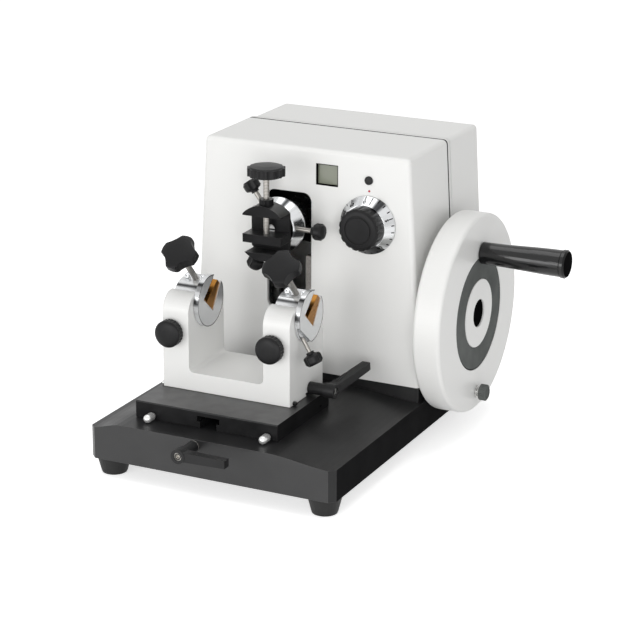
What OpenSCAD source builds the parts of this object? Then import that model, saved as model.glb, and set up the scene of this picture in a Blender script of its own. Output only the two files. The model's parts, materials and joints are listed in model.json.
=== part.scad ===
// Rotary microtome, hand driven.
// Working frame of every module: x runs right from the base's left edge, y runs back from the
// base's front face, z runs up from the bench. place() then moves it all to the model's own frame,
// whose origin is on the bench under the middle of the whole machine.

/* [Base] */
// Width of the base
base_w = 265; // [240:1:300]
// Depth of the base
base_d = 380; // [360:1:440]
// Height of the rubber feet
foot_h = 17.8; // [12:0.1:26]
// Radius of a foot where it meets the base
foot_r = 17; // [14:0.5:22]
// Radius of a foot on the bench
foot_tip_r = 12.9; // [9:0.1:16]
// Distance of a foot's centre from the base's two edges
foot_inset = 17.5; // [17:0.5:30]
// Height of the base casting at its edge
base_edge = 31.9; // [26:0.1:40]
// Height of the raised platform above the base's edge
platform_rise = 6.8; // [3:0.1:12]
// Left end of the flat platform
platform_left = 37; // [20:1:60]
// Right end of the flat platform
platform_right = 192; // [186:1:215]
// Wall thickness of the base casting
base_wall = 9; // [6:0.5:12]
// Thickness of the base casting's deck at its edge
deck_t = 8; // [6:0.5:12]
// Chamfer of the base's upright corners
corner_cut = 6; // [2:0.5:12]
// Middle of the machine: specimen, slot in the housing and clamp of the slide plate
work_x = 117; // [110:0.5:125]

/* [Housing] */
// Depth at which the housing's front wall stands
front_y = 201.3; // [195:0.1:220]
// Depth of the front housing up to the joint with the rear cover
front_d = 91.3; // [85:0.1:100]
// Depth of the rear cover
rear_d = 84.2; // [75:0.1:95]
// Gap between the front housing and the rear cover
joint_gap = 1.6; // [0.6:0.1:3]
// Height of the housing's underside above the bench
housing_z = 65.7; // [60:0.1:75]
// Height of the housing
housing_h = 234; // [225:1:250]
// Distance of the housing's top from the base's right edge
housing_side = 16.3; // [10:0.1:30]
// Left edge of the housing's top
housing_x = 21.3; // [15:0.1:30]
// Widening of each side towards the bottom, in mm per mm of height
draft = 0.06; // [0:0.01:0.1]
// Wall thickness of the housing
wall = 4; // [3:0.5:6]
// Radius of the housing's outer edges
edge_r = 5; // [3:0.5:9]
// Width of the slot that the specimen arm passes through
slot_w = 50; // [46:0.5:60]
// Height of the slot
slot_h = 126.5; // [120:0.5:140]
// Height of the slot's upper end above the bench
slot_top = 253; // [250:0.5:265]
// Corner radius of the slot
slot_r = 9; // [3:0.5:14]
// Width of the counter's window
window_w = 24.3; // [18:0.1:34]
// Height of the counter's window
window_h = 21.9; // [14:0.1:26]
// Distance of the window's left edge from the dial's axis
window_reach = 58; // [52:0.5:62]
// Lower edge of the counter's window
window_z = 263.1; // [262:0.1:270]

/* [Slide plate] */
// Width of the slide plate
plate_w = 155; // [145:1:165]
// Depth of the slide plate
plate_d = 111.5; // [100:0.5:120]
// Thickness of the slide plate
plate_t = 16.9; // [15:0.1:22]
// Left edge of the slide plate
plate_x = 36.8; // [30:0.1:44]
// Front edge of the slide plate
plate_y = 28.5; // [28:0.1:34]
// Width of the wide upper part of the T-slot
tslot_w = 24.6; // [22:0.1:30]
// Width of the slot's mouth
tslot_mouth = 18.2; // [14:0.1:20]
// Height of the wide part above the plate's underside
tslot_lip = 6.2; // [4:0.1:8]
// Height of the wide part
tslot_h = 6; // [5:0.1:8]

/* [Knife holder] */
// Left face of the knife holder
holder_x = 41; // [38:0.5:44]
// Front face of the knife holder
holder_y = 76; // [70:0.5:76]
// Depth of the knife holder
holder_d = 72; // [64:0.5:72]
// Width of a pillar
pillar_w = 29; // [27:0.5:32]
// Clear width between the pillars
pillar_gap = 82; // [78:0.5:90]
// Height of a pillar above the slide plate
pillar_h = 95.8; // [92:0.1:102]
// Thickness of the holder's floor between the pillars
floor_t = 18.8; // [14:0.1:26]
// Radius of a pillar's front shoulder
shoulder_r = 18; // [10:0.5:22]
// Radius of a knife clamp barrel
barrel_r = 20.5; // [19:0.1:22]
// Height of the barrel axis above the slide plate
barrel_h = 83.3; // [82:0.1:86]
// Radius of a knife clamp's end disc
disc_r = 26; // [25:0.5:28]
// Thickness of an end disc
disc_t = 5.2; // [4:0.1:8]
// Setback of a barrel's left end inside its pillar
barrel_setback = 3.5; // [1:0.1:6]
// Lean of the knife seat from upright, towards the specimen
knife_tilt = 41.7; // [36:0.1:46]
// Width of the knife seat at its floor
seat_w = 24.7; // [22:0.1:26]
// Depth of the knife seat's floor below the barrel axis
seat_floor = 6; // [4:0.1:8]
// Diameter of a star knob
star_d = 38; // [30:0.5:42]
// Thickness of a star knob
star_t = 11.5; // [8:0.1:16]
// Free length of a star knob's screw outside the barrel's pad
star_reach = 40; // [32:0.5:46]
// Diameter of a lock knob on a pillar's front
lock_d = 27.5; // [20:0.5:32]
// Thickness of a lock knob
lock_t = 12.5; // [9:0.5:16]

/* [Specimen clamp] */
// Height of the specimen clamp's axis above the bench, with the head at the top of its stroke
head_z = 223.5; // [222:0.5:225]
// Radius of the round bar that the specimen clamp is turned from
vise_r = 28; // [26:0.5:30]
// Width across the flats of the specimen clamp
vise_w = 42; // [38:0.5:46]
// Front face of the specimen clamp
vise_y = 141; // [139:0.5:143]
// Depth of the specimen clamp
vise_d = 25.5; // [24:0.1:27]
// Depth of the specimen clamp's throat
throat_d = 19.5; // [17:0.1:20]
// Height of the lower jaw's face below the axis
jaw_floor = 20.5; // [18:0.5:22]
// Height of the bridge's underside above the axis
bridge_z = 17; // [16:0.1:19]
// Thickness of the movable jaw
jaw_t = 8.6; // [7:0.1:9.5]
// Opening between the jaws at rest
jaw_open = 10; // [9:0.1:12]
// Diameter of the specimen clamp's knob
clamp_knob_d = 38; // [30:0.5:42]
// Thickness of the specimen clamp's knob
clamp_knob_t = 11; // [8:0.5:16]
// Diameter of the clamp screw
clamp_screw_d = 6; // [5:0.5:8]
// Length of the clamp screw between jaw and knob
clamp_screw_l = 58; // [52:0.5:64]
// Thickness of the socket ring
ring_t = 14; // [12:0.5:14]
// Radius of the ball behind the specimen clamp
ball_r = 8; // [7:0.1:8]
// Distance of an orientation knob's centre from the head's axis
orient_reach = 46; // [44:0.5:50]
// Diameter of an orientation knob
orient_knob_d = 17; // [14:0.5:18]

/* [Drive] */
// Radius of the handwheel
wheel_r = 102.4; // [95:0.1:103]
// Thickness of the handwheel
wheel_t = 29.6; // [26:0.1:34]
// Clearance between the base's side and the handwheel
wheel_gap = 0.8; // [0.6:0.1:4]
// Depth of the main shaft's axis
shaft_y = 274.7; // [272:0.1:276]
// Height of the main shaft's axis above the bench
shaft_z = 128.8; // [127:0.1:131]
// Radius of the main shaft
shaft_r = 10; // [8:0.5:11]
// Outer radius of the grey ring set in the handwheel's face
ring_outer = 59; // [50:0.5:62]
// Inner radius of the grey ring
ring_inner = 35.2; // [32:0.1:40]
// Radius of the hub cap
hub_r = 14.5; // [13:0.1:18]
// Distance of the crank grip from the wheel's axis
crank_r = 63; // [62.5:0.5:80]
// Angle by which the crank grip stands back from the top
crank_lead = 3.7; // [0:0.1:8]
// Length of the crank grip
grip_l = 91; // [80:1:110]
// Radius of the crank grip at its wide end
grip_r = 14.4; // [12:0.1:16]
// Radius of the crank grip at the wheel
grip_neck_r = 11.2; // [9:0.1:13]
// Distance of the lock pin from the wheel's axis
lock_r = 84.3; // [80:0.1:88]
// Vertical stroke of the specimen head
stroke = 62; // [50:1:62]
// Radius of the coarse feed knob
coarse_r = 20; // [16:0.5:24]
// Length of the coarse feed knob
coarse_l = 20; // [14:0.5:24]
// Height of the coarse feed knob's axis above the bench
coarse_z = 150; // [140:1:170]

/* [Thickness dial] */
// Distance of the dial's axis from the specimen clamp's axis
dial_reach = 88; // [84:0.5:94]
// Height of the dial's axis above the bench
dial_z = 229; // [222:0.5:235]
// Radius of the graduated ring at the housing
dial_r = 29.6; // [26:0.1:34]
// Radius of the dial's knob
dial_knob_r = 21.3; // [17:0.1:24]
// Thickness of the graduated ring
dial_t = 11; // [8:0.5:14]
// Thickness of the dial's knob
dial_knob_t = 14; // [10:0.5:18]
// Height of the reset button's axis above the bench
button_z = 274; // [270:0.5:280]
// Radius of the reset button
button_r = 4.2; // [3:0.1:6]

/* [Clearances] */
// Radial clearance of a turning or sliding fit
fit = 0.05; // [0.02:0.01:0.09]
// Clearance between flat faces that slide on each other
slide_gap = 0.3; // [0.2:0.05:0.6]

/* [Hidden] */
$fn = 64;

// heights of the main levels
edge_z = foot_h + base_edge;
platform_z = edge_z + platform_rise;
plate_z = platform_z + slide_gap;
holder_z = plate_z + plate_t + slide_gap;
housing_top = housing_z + housing_h;
// width of the housing at its top, and places across its front
housing_w = base_w - housing_x - housing_side;
dial_x = work_x + dial_reach;
window_x = dial_x - window_reach;
joint_y = front_y + front_d;
rear_y = joint_y + joint_gap + rear_d;
// the handwheel and its crank
wheel_x = base_w + wheel_gap;
wheel_face = wheel_x + wheel_t;
grip_gap = 0.5;
right_end = wheel_face + grip_gap + grip_l;
// the coarse feed knob stands out of the housing's left wall
coarse_gap = 1;
coarse_foot = housing_x - draft * (housing_top - coarse_z + coarse_r) - coarse_gap;
left_end = min(0, coarse_foot - coarse_l);
// the front clamp lever stands out of the base's front face
lever_z = platform_z - 6.5;
lever_hub_l = 32;
front_end = -lever_hub_l;
back_end = max(base_d, rear_y);

// moves a piece from the working frame to the model's own frame
module place() {
  translate([-(left_end + right_end) / 2, -(front_end + back_end) / 2, 0]) children();
}

// a box from its lowest corner to its highest
module block(low, high) {
  translate(low) cube(high - low);
}

// round bars along each axis, from a start point
module rod_x(p, len, r) {
  translate(p) rotate([0, 90, 0]) cylinder(h = len, r = r);
}
module rod_y(p, len, r) {
  translate(p) rotate([-90, 0, 0]) cylinder(h = len, r = r);
}
module rod_z(p, len, r) {
  translate(p) cylinder(h = len, r = r);
}

// turned pieces: a profile of (radius, length) points spun about x or about the line towards -y
module turn_x(p) {
  translate(p) rotate([0, 90, 0]) rotate_extrude() children();
}
module turn_front(p) {
  translate(p) rotate([90, 0, 0]) rotate_extrude() children();
}
module turn_back(p) {
  translate(p) rotate([-90, 0, 0]) rotate_extrude() children();
}

// extrusions whose outline lies in the y-z plane or in the x-z plane
module along_x(x0, len) {
  translate([x0, 0, 0]) rotate([90, 0, 90]) linear_extrude(len) children();
}
module along_y(y0, len) {
  translate([0, y0 + len, 0]) rotate([90, 0, 0]) linear_extrude(len) children();
}

// a smooth rise from 0 to 1
function ease(t) = (1 - cos(180 * t)) / 2;

// points of a polygon whose corners are rounded, each by its own radius, with steps per corner
function unit(v) = v / norm(v);
function corner(a, b, c, r, steps) =
  let (u = unit(a - b), w = unit(c - b))
  let (half = acos(u * w) / 2)
  let (cut = r / tan(half), mid = b + unit(u + w) * r / sin(half))
  let (p = b + u * cut - mid, q = b + w * cut - mid)
  [for (i = [0:steps]) let (v = p * (1 - i / steps) + q * i / steps) mid + unit(v) * r];
function round_poly(pts, radii, steps = 8) =
  let (n = len(pts))
  [for (i = [0:n - 1], p = radii[i] > 0
      ? corner(pts[(i + n - 1) % n], pts[i], pts[(i + 1) % n], radii[i], steps)
      : [pts[i]]) p];

// a small three-lobed knob along z
module lobed_knob(d) {
  difference() {
    rotate_extrude() polygon([
      [0, 0], [4, 0], [4, 2], [d / 2 - 1, 3.4], [d / 2, 5], [d / 2, 10.5], [d / 2 - 2, 13], [0, 13.5]
    ]);
    for (i = [0:2]) rotate(120 * i + 60) translate([d / 2 + 4.4, 0, 3]) cylinder(h = 12, r = 6);
  }
}

// a round knob along z with scallops cut into its rim
module fluted(h, r, count, scallop_r, bite) {
  difference() {
    cylinder(h = h, r = r);
    for (i = [0:count - 1])
      rotate(360 * i / count)
        translate([r + scallop_r - bite, 0, -1])
          cylinder(h = h + 2, r = scallop_r, $fn = 24);
  }
}

// Base

foot_places = [for (x = [foot_inset, base_w - foot_inset], y = [foot_inset, base_d - foot_inset]) [x, y]];
foot_screw_r = 3;

// outline of the base seen from the front, with the smooth falls beside the platform
base_outline = concat(
  [[0, foot_h], [base_w, foot_h]],
  [for (i = [0:10]) [base_w + (platform_right - base_w) * i / 10, edge_z + platform_rise * ease(i / 10)]],
  [for (i = [0:6]) [platform_left * (1 - i / 6), platform_z - platform_rise * ease(i / 6)]]
);

// the clamp of the slide plate: a T-bolt that an eccentric shaft pulls down
clamp_boss = 34;
bolt_l = 30;
bolt_y = 72;
bolt_foot = lever_z - 8.2;
cam_shaft_r = 4;
cam_r = 3;
cam_throw = 0.8;
cam_hole_r = 4.4;
cam_shaft_end = bolt_y + bolt_l + 10;
rib = 8;
clamp_end = cam_shaft_end + rib;
lock_hole_r = 4.3;
lock_hole_depth = 7;

module base_pockets() {
  top = edge_z - deck_t;
  left = [base_wall, work_x - clamp_boss / 2];
  right = [work_x + clamp_boss / 2, base_w - base_wall];
  for (span = [left, right])
    block([span[0], base_wall, foot_h - 1], [span[1], clamp_end, top]);
  for (span = [[base_wall, work_x - rib / 2], [work_x + rib / 2, base_w - base_wall]])
    block([span[0], clamp_end + rib, foot_h - 1], [span[1], base_d - base_wall, top]);
}

module base_plate() place() color("#262626") {
  difference() {
    intersection() {
      along_y(0, base_d) polygon(base_outline);
      linear_extrude(platform_z + 1) polygon([
        [corner_cut, 0], [base_w - corner_cut, 0], [base_w, corner_cut],
        [base_w, base_d - corner_cut], [base_w - corner_cut, base_d],
        [corner_cut, base_d], [0, base_d - corner_cut], [0, corner_cut]
      ]);
    }
    difference() {
      base_pockets();
      for (p = foot_places) rod_z([p[0], p[1], foot_h - 2], base_edge, foot_r - 3);
    }
    for (p = foot_places) rod_z([p[0], p[1], foot_h - 1], 19, foot_screw_r - 0.5);
    // well of the T-bolt, bore of the eccentric shaft and hole of the handwheel's lock pin
    block([work_x - tslot_mouth / 2, bolt_y - slide_gap, bolt_foot - 1],
          [work_x + tslot_mouth / 2, bolt_y + bolt_l + slide_gap, platform_z + 1]);
    rod_y([work_x, -1, lever_z], cam_shaft_end + 1.5, cam_shaft_r + fit);
    rod_x([base_w - lock_hole_depth, shaft_y, shaft_z - lock_r], lock_hole_depth + 1, lock_hole_r);
  }
}

module rubber_feet() place() color("#1b1b1b") {
  lip = 2;
  for (p = foot_places) translate([p[0], p[1], 0]) difference() {
    rotate_extrude() polygon([
      [0, 0], [foot_tip_r - lip, 0], [foot_tip_r - 0.6, 0.6], [foot_tip_r, lip],
      [foot_r, foot_h], [0, foot_h]
    ]);
    translate([0, 0, -1]) cylinder(h = 9, r = foot_screw_r + 0.9);
    cylinder(h = foot_h + 1, r = foot_screw_r + 0.3);
  }
}

// the T-bolt's head fills the plate's slot, and its stem drops into the base's well
module plate_t_bolt() place() color("#3a3a3c") {
  head = [plate_z + tslot_lip + slide_gap, plate_z + tslot_lip + tslot_h - slide_gap];
  difference() {
    union() {
      block([work_x - tslot_w / 2 + slide_gap, bolt_y, head[0]],
            [work_x + tslot_w / 2 - slide_gap, bolt_y + bolt_l, head[1]]);
      block([work_x - tslot_mouth / 2 + slide_gap, bolt_y, bolt_foot],
            [work_x + tslot_mouth / 2 - slide_gap, bolt_y + bolt_l, head[0] + 1]);
    }
    rod_y([work_x, bolt_y - 1, lever_z], bolt_l + 2, cam_hole_r);
  }
}

// hexagon socket in the outer end of a clamp lever's shaft
lever_socket_r = 2.2;
lever_recess = 1;

module front_clamp_shaft() place() color("#b9bbbe") {
  cam = [bolt_y + 2, bolt_y + bolt_l - 2];
  difference() {
    union() {
      rod_y([work_x, front_end + lever_recess, lever_z], cam[0] - front_end - lever_recess, cam_shaft_r);
      rod_y([work_x, cam[0] - 1, lever_z - cam_throw], cam[1] - cam[0] + 2, cam_r);
      rod_y([work_x, cam[1], lever_z], cam_shaft_end - cam[1], cam_shaft_r);
      rod_y([work_x, -1.3, lever_z], 1, 5.7);
    }
    rod_y([work_x, front_end, lever_z], 4, lever_socket_r, $fn = 6);
  }
}

// a clamp lever: stepped hub along z with the arm leaving its outer end along +x
module clamp_lever(hub_l, hub_r, eye_r, arm_l, rise, bore_r) {
  arm_t = 9.4;
  difference() {
    union() {
      cylinder(h = hub_l - 3, r = hub_r);
      translate([0, 0, hub_l - 11]) cylinder(h = 11, r = eye_r);
      hull() {
        translate([eye_r * 0.4, -arm_t / 2, hub_l - 10.6]) cube([2, arm_t, 10]);
        translate([arm_l - 3, -arm_t * 0.42, hub_l - 10 + rise]) cube([3, arm_t * 0.84, 8.6]);
      }
    }
    translate([0, 0, -1]) cylinder(h = hub_l + 2, r = bore_r);
    // grip lines on the arm's upper side
    for (line = [0:2])
      translate([eye_r + 4, arm_t / 2 - 0.9, hub_l - 8.2 + line * 2.4]) cube([arm_l * 0.6, 2, 0.9]);
  }
}

module front_clamp_lever() place() color("#2b2b2b")
  translate([work_x, -1.6, lever_z])
    rotate([90, 0, 0])
      clamp_lever(lever_hub_l - 1.6, 5.8, 7.2, 49.5, 0, cam_shaft_r + fit);

// Housing

// left or right edge of the housing at a height, with an inset
function side_left(z, inset) = housing_x - draft * (housing_top - z) + inset;
function side_right(z, inset) = housing_x + housing_w + draft * (housing_top - z) - inset;

// the housing's tapered box: round edges all over towards one end in y, plain at the other end
module shell_box(y_round, y_plain, inset, r, top, bottom) {
  step = y_round < y_plain ? 1 : -1;
  hull()
    for (z = [bottom, top - r]) {
      for (x = [side_left(z, inset) + r, side_right(z, inset) - r]) {
        translate([x, y_round + step * r, z]) sphere(r = r, $fn = 28);
        translate([x, y_plain, z]) rotate([90 * step, 0, 0]) cylinder(h = 1, r = r, $fn = 28);
      }
    }
}

// the hollow shell, cut off level at the housing's underside
module shell(y_round, y_plain, inset) {
  step = y_round < y_plain ? 1 : -1;
  over = housing_z - 12;
  difference() {
    shell_box(y_round, y_plain, inset, edge_r, housing_top - inset, over);
    shell_box(y_round + step * wall, y_plain + step * 3, inset + wall, 2, housing_top - inset - wall, over - 4);
    block([-50, 0, over - 40], [base_w + 50, base_d + 60, housing_z]);
  }
}

module slot_outline() {
  x = [work_x - slot_w / 2, work_x + slot_w / 2];
  z = [slot_top - slot_h, slot_top];
  polygon(round_poly([[x[0], z[0]], [x[1], z[0]], [x[1], z[1]], [x[0], z[1]]],
                     [slot_r, slot_r, slot_r, slot_r]));
}

dial_bush_r = 5;
coarse_shaft_r = 5;
shaft_hole_r = shaft_r + 3;

module front_housing() place() color("#f1f1ef") {
  difference() {
    shell(front_y, joint_y, 0);
    along_y(front_y - 1, wall + 2) slot_outline();
    block([window_x, front_y - 1, window_z], [window_x + window_w, front_y + wall + 1, window_z + window_h]);
    rod_y([dial_x, front_y - 1, dial_z], wall + 2, dial_bush_r + fit);
    rod_y([dial_x, front_y - 1, button_z], wall + 2, button_r + fit * 2);
    rod_x([side_right(shaft_z, wall + 4), shaft_y, shaft_z], wall + 12, shaft_hole_r);
    rod_x([side_left(coarse_z, -8), shaft_y, coarse_z], wall + 16, coarse_shaft_r + fit);
  }
}

// the rear cover: a lip as wide as the front housing, and the cover itself set in a little
module rear_cover() place() color("#f1f1ef") {
  lip_d = 6.5;
  lip_step = 1.4;
  start = joint_y + joint_gap;
  shell(rear_y, start + lip_d - 1, lip_step);
  difference() {
    shell_box(start + lip_d + edge_r, start, 0, edge_r, housing_top, housing_z - 12);
    block([-50, start + lip_d, 0], [base_w + 50, base_d + 60, housing_top + 9]);
    block([-50, 0, 0], [base_w + 50, base_d + 60, housing_z]);
    shell_box(start - 9, start + lip_d + 9, wall + lip_step, 2, housing_top - wall - lip_step, housing_z - 20);
  }
}

// the black casting between base and housing, which carries everything inside
plinth_inset = 1.6;
module housing_plinth() place() color("#202020") {
  x = [side_left(housing_z, plinth_inset), side_right(housing_z, plinth_inset)];
  inner = wall + 3;
  difference() {
    union() {
      block([x[0], front_y + plinth_inset, edge_z - 1], [x[1], rear_y - plinth_inset - 2, housing_z]);
      // spigot that stands inside the two covers
      block([x[0] + inner, front_y + inner + 2, housing_z - 1], [x[1] - inner, rear_y - inner - 3, housing_z + 5]);
    }
    along_y(-1, base_d + 2) polygon(base_outline);
    block([x[0] + inner + 6, front_y + 18, housing_z - 5], [x[1] - inner - 6, rear_y - 20, housing_z + 6]);
  }
}

// the pane lies behind the wall, in a rebate of the counter's frame
pane_y = front_y + wall + fit;
pane_t = 1.2;
pane_rim = 1;
module lcd_window() place() color("#8d9282")
  block([window_x - pane_rim, pane_y, window_z - pane_rim],
        [window_x + window_w + pane_rim, pane_y + pane_t, window_z + window_h + pane_rim]);

// counter behind the window, its frame screwed to the wall, with the reset switch's body
module counter_module() place() color("#2d3a33") {
  back = pane_y;
  edge = pane_rim + fit;
  difference() {
    block([window_x - 5, back, window_z - 4], [window_x + window_w + 5, back + 11, window_z + window_h + 4]);
    block([window_x - edge, back - 1, window_z - edge],
          [window_x + window_w + edge, back + pane_t + fit, window_z + window_h + edge]);
    block([window_x + 1.5, back - 1, window_z + 1.5], [window_x + window_w - 1.5, back + 4, window_z + window_h - 1.5]);
  }
  difference() {
    block([window_x + window_w + 4, back, button_z - 8], [dial_x + 9, back + 9, button_z + 8]);
    rod_y([dial_x, back - 1, button_z], 7.5, button_r + 1.4);
  }
}

// Drive frame inside the housing

column_r = 7;
arm_r = 18;
yoke_t = 11;
// room between specimen arm and right wall beyond what columns, yoke, crank and bearings need
drive_need = arm_r + 2 * column_r + yoke_t + 70;
drive_slack = side_right(shaft_z, wall) - work_x - drive_need;
column_span = arm_r + column_r + 1 + 0.4 * drive_slack;
column_y = front_y + 44.7;
column_foot = housing_z - 5;
column_top = housing_top - wall - 8;
column_places = [for (side = [-1, 1]) work_x + side * column_span];

module guide_columns() place() color("#c9ccd0")
  for (x = column_places) rod_z([x, column_y, column_foot], column_top - column_foot, column_r);

// the top bridge holds both columns' upper ends
module column_bridge() place() color("#303235") {
  difference() {
    block([work_x - column_span - 14, column_y - 13, column_top - 12],
          [work_x + column_span + 14, column_y + 13, column_top + 2]);
    for (x = column_places) rod_z([x, column_y, column_top - 13], 14, column_r + fit);
  }
}

// steel rail beside the slot: a strip that stands in the slot, and its flange behind the front wall
module wear_rail() place() color("#b6b4ac") {
  x = [work_x + arm_r + 0.6, work_x + slot_w / 2 - 0.4];
  y = [front_y + 0.4, front_y + wall + slide_gap];
  top = head_z - 36;
  difference() {
    union() {
      block([x[0], y[0], slot_top - slot_h + slot_r + 0.5], [x[1], y[1] + 1, top]);
      block([x[0], y[1], housing_z], [x[1] + 12, y[1] + 3, top]);
    }
    for (z = [housing_z + 24, top - 20]) rod_y([x[1] + 6, y[1] - 1, z], 6, 1.7);
  }
}

crank_throw = stroke / 2;
yoke_foot = work_x + column_span + column_r + 2 + 0.44 * drive_slack;
yoke_x = [yoke_foot, yoke_foot + yoke_t];
bearing_r = 21;
bearing_w = 12;
bearing_x = [yoke_x[1] + 28, yoke_x[1] + 51];

module bearing_housing() place() color("#33363a") {
  body_r = bearing_r + 8;
  x0 = bearing_x[0] - 3;
  len = bearing_x[1] + bearing_w - x0;
  difference() {
    union() {
      rod_x([x0, shaft_y, shaft_z], len, body_r);
      block([x0, shaft_y - 14, column_foot], [x0 + len, shaft_y + 14, shaft_z]);
      block([x0 - 4, shaft_y - 34, column_foot], [x0 + len, shaft_y + 34, column_foot + 10]);
    }
    rod_x([x0 - 1, shaft_y, shaft_z], len + 2, shaft_r + 4);
    for (x = bearing_x) rod_x([x - (x == bearing_x[0] ? 4 : 0), shaft_y, shaft_z], bearing_w + 4, bearing_r + fit);
  }
}

module shaft_bearings() place() color("#c0c3c7") {
  for (x = bearing_x) difference() {
    union() {
      rod_x([x, shaft_y, shaft_z], bearing_w, bearing_r);
    }
    rod_x([x - 1, shaft_y, shaft_z], bearing_w + 2, shaft_r + fit);
    for (face = [-1, 1]) turn_x([x + bearing_w / 2 + face * (bearing_w / 2 - 0.6), shaft_y, shaft_z])
      translate([shaft_r + 3, -0.7]) square([bearing_r - shaft_r - 6, 1.4]);
  }
}

// Slide plate and knife holder

// dovetail bar let into the plate's top, on which the knife holder slides sideways
bar_w = 16;
bar_neck = 11;
bar_seat = 3.2;
bar_rise = 2.8;

module slide_plate() place() color("#2a2a2a") {
  bevel = 1;
  top = plate_z + plate_t;
  difference() {
    along_x(plate_x, plate_w) polygon([
      [plate_y, plate_z], [plate_y + plate_d, plate_z], [plate_y + plate_d, top - bevel],
      [plate_y + plate_d - bevel, top], [plate_y + bevel, top], [plate_y, top - bevel]
    ]);
    block([work_x - tslot_mouth / 2, plate_y - 1, plate_z - 1],
          [work_x + tslot_mouth / 2, plate_y + plate_d + 1, plate_z + tslot_lip + 1]);
    block([work_x - tslot_w / 2, plate_y - 1, plate_z + tslot_lip],
          [work_x + tslot_w / 2, plate_y + plate_d + 1, plate_z + tslot_lip + tslot_h]);
    block([bar_x[0], side_lever_y - bar_w / 2, top - bar_seat], [bar_x[1], side_lever_y + bar_w / 2, top + 1]);
  }
}

pillar_x = [holder_x, holder_x + pillar_w + pillar_gap];
holder_w = 2 * pillar_w + pillar_gap;
// the bar stays under the holder over its whole way: 4 mm to the left and 10 mm to the right
bar_x = [holder_x + 10, holder_x + holder_w - 5.2];
holder_top = holder_z + pillar_h;
barrel_y = holder_y + holder_d / 2;
barrel_z = holder_z + barrel_h;
lock_x = 10.5;
lock_z = barrel_z - barrel_r - 4.6;
lock_screw_r = 3.5;
side_lever_y = holder_y + 42.5;
side_lever_z = holder_z + 7.2;

// outline of a pillar seen from the side
pillar_outline = round_poly(
  [[holder_y, holder_z], [holder_y + holder_d, holder_z], [holder_y + holder_d, holder_top], [holder_y, holder_top]],
  [0, 0, 10, shoulder_r], 12);

module knife_holder() place() color("#f3f3f1") {
  inside = [holder_x + pillar_w, holder_x + pillar_w + pillar_gap];
  fillet = 5;
  floor_z = holder_z + floor_t;
  difference() {
    union() {
      for (x = pillar_x) along_x(x, pillar_w) polygon(pillar_outline);
      block([holder_x + 1, holder_y, holder_z], [holder_x + holder_w - 1, holder_y + holder_d, floor_z]);
      // fillets where the pillars rise from the floor
      difference() {
        block([inside[0] - 1, holder_y, floor_z - 1], [inside[1] + 1, holder_y + holder_d, floor_z + fillet]);
        for (x = [inside[0] + fillet, inside[1] - fillet])
          rod_y([x, holder_y - 1, floor_z + fillet], holder_d + 2, fillet);
        block([inside[0] + fillet, holder_y - 1, floor_z], [inside[1] - fillet, holder_y + holder_d + 1, floor_z + fillet + 1]);
      }
    }
    for (x = pillar_x) {
      rod_x([x - 1, barrel_y, barrel_z], pillar_w + 2, barrel_r + fit);
      rod_y([x + lock_x, holder_y - 1, lock_z], holder_d - 12, lock_screw_r + fit);
    }
    // relief on the pillars' rear edge for the knife's back
    for (x = pillar_x) translate([x - 1, barrel_y, barrel_z]) rotate([90 - knife_tilt, 0, 0])
      block([0, 0, -14], [pillar_w + 2, 40, 12]);
    // dovetail slot across the underside, and bore of the eccentric shaft above it
    along_x(holder_x - 1, holder_w + 2) polygon([
      [side_lever_y - bar_neck / 2 - 0.7, holder_z - 1], [side_lever_y + bar_neck / 2 + 0.7, holder_z - 1],
      [side_lever_y + bar_w / 2 + 0.4, holder_z + bar_rise + 0.6],
      [side_lever_y - bar_w / 2 - 0.4, holder_z + bar_rise + 0.6]
    ]);
    rod_x([work_x - 34, side_lever_y, side_lever_z], holder_w, cam_shaft_r + fit);
  }
}

// the side lever's eccentric shaft presses down on this bar and so holds the knife holder
module dovetail_bar() place() color("#4a4a4c") {
  top = plate_z + plate_t;
  along_x(bar_x[0] + fit, bar_x[1] - bar_x[0] - 2 * fit) polygon([
    [side_lever_y - bar_w / 2 + fit, top - bar_seat], [side_lever_y + bar_w / 2 - fit, top - bar_seat],
    [side_lever_y + bar_w / 2 - fit, top - 0.2], [side_lever_y + bar_neck / 2, top - 0.2],
    [side_lever_y + bar_neck / 2, top], [side_lever_y + bar_w / 2, holder_z + bar_rise],
    [side_lever_y - bar_w / 2, holder_z + bar_rise], [side_lever_y - bar_neck / 2, top],
    [side_lever_y - bar_neck / 2, top - 0.2], [side_lever_y - bar_w / 2 + fit, top - 0.2]
  ]);
}

side_end = holder_x + holder_w + 29;

module side_clamp_shaft() place() color("#b9bbbe") {
  difference() {
    union() {
      rod_x([work_x - 32, side_lever_y, side_lever_z], 12, cam_shaft_r);
      rod_x([work_x - 21, side_lever_y, side_lever_z - cam_throw], 42, cam_r);
      rod_x([work_x + 20, side_lever_y, side_lever_z], side_end - lever_recess - work_x - 20, cam_shaft_r);
    }
    rod_x([side_end - 4, side_lever_y, side_lever_z], 4, lever_socket_r, $fn = 6);
  }
}

module side_clamp_lever() place() color("#2b2b2b")
  translate([holder_x + holder_w + 0.6, side_lever_y, side_lever_z])
    rotate([7, 0, 0]) rotate([90, 0, 90])
      clamp_lever(28.4, 6, 7.3, 64, 9, cam_shaft_r + fit);

// Knife clamps

barrel_x = [for (x = pillar_x) x + barrel_setback];
barrel_l = pillar_w - barrel_setback + slide_gap;
disc_x = barrel_l;
clamp_l = barrel_l + disc_t;
screw_x = clamp_l / 2;
screw_u = 14.3;
pad_t = 4;
disc_flat = 20.2;
tilt_rod = 18;
tilt_rod_r = 2;
tilt_knob_d = 18;

// frame of one knife clamp: x along the barrel from its left end, then v towards the specimen and
// down, then u along the knife seat towards its mouth
module seat_frame(side) {
  translate([barrel_x[side], barrel_y, barrel_z]) rotate([-knife_tilt, 0, 0]) children();
}

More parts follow.
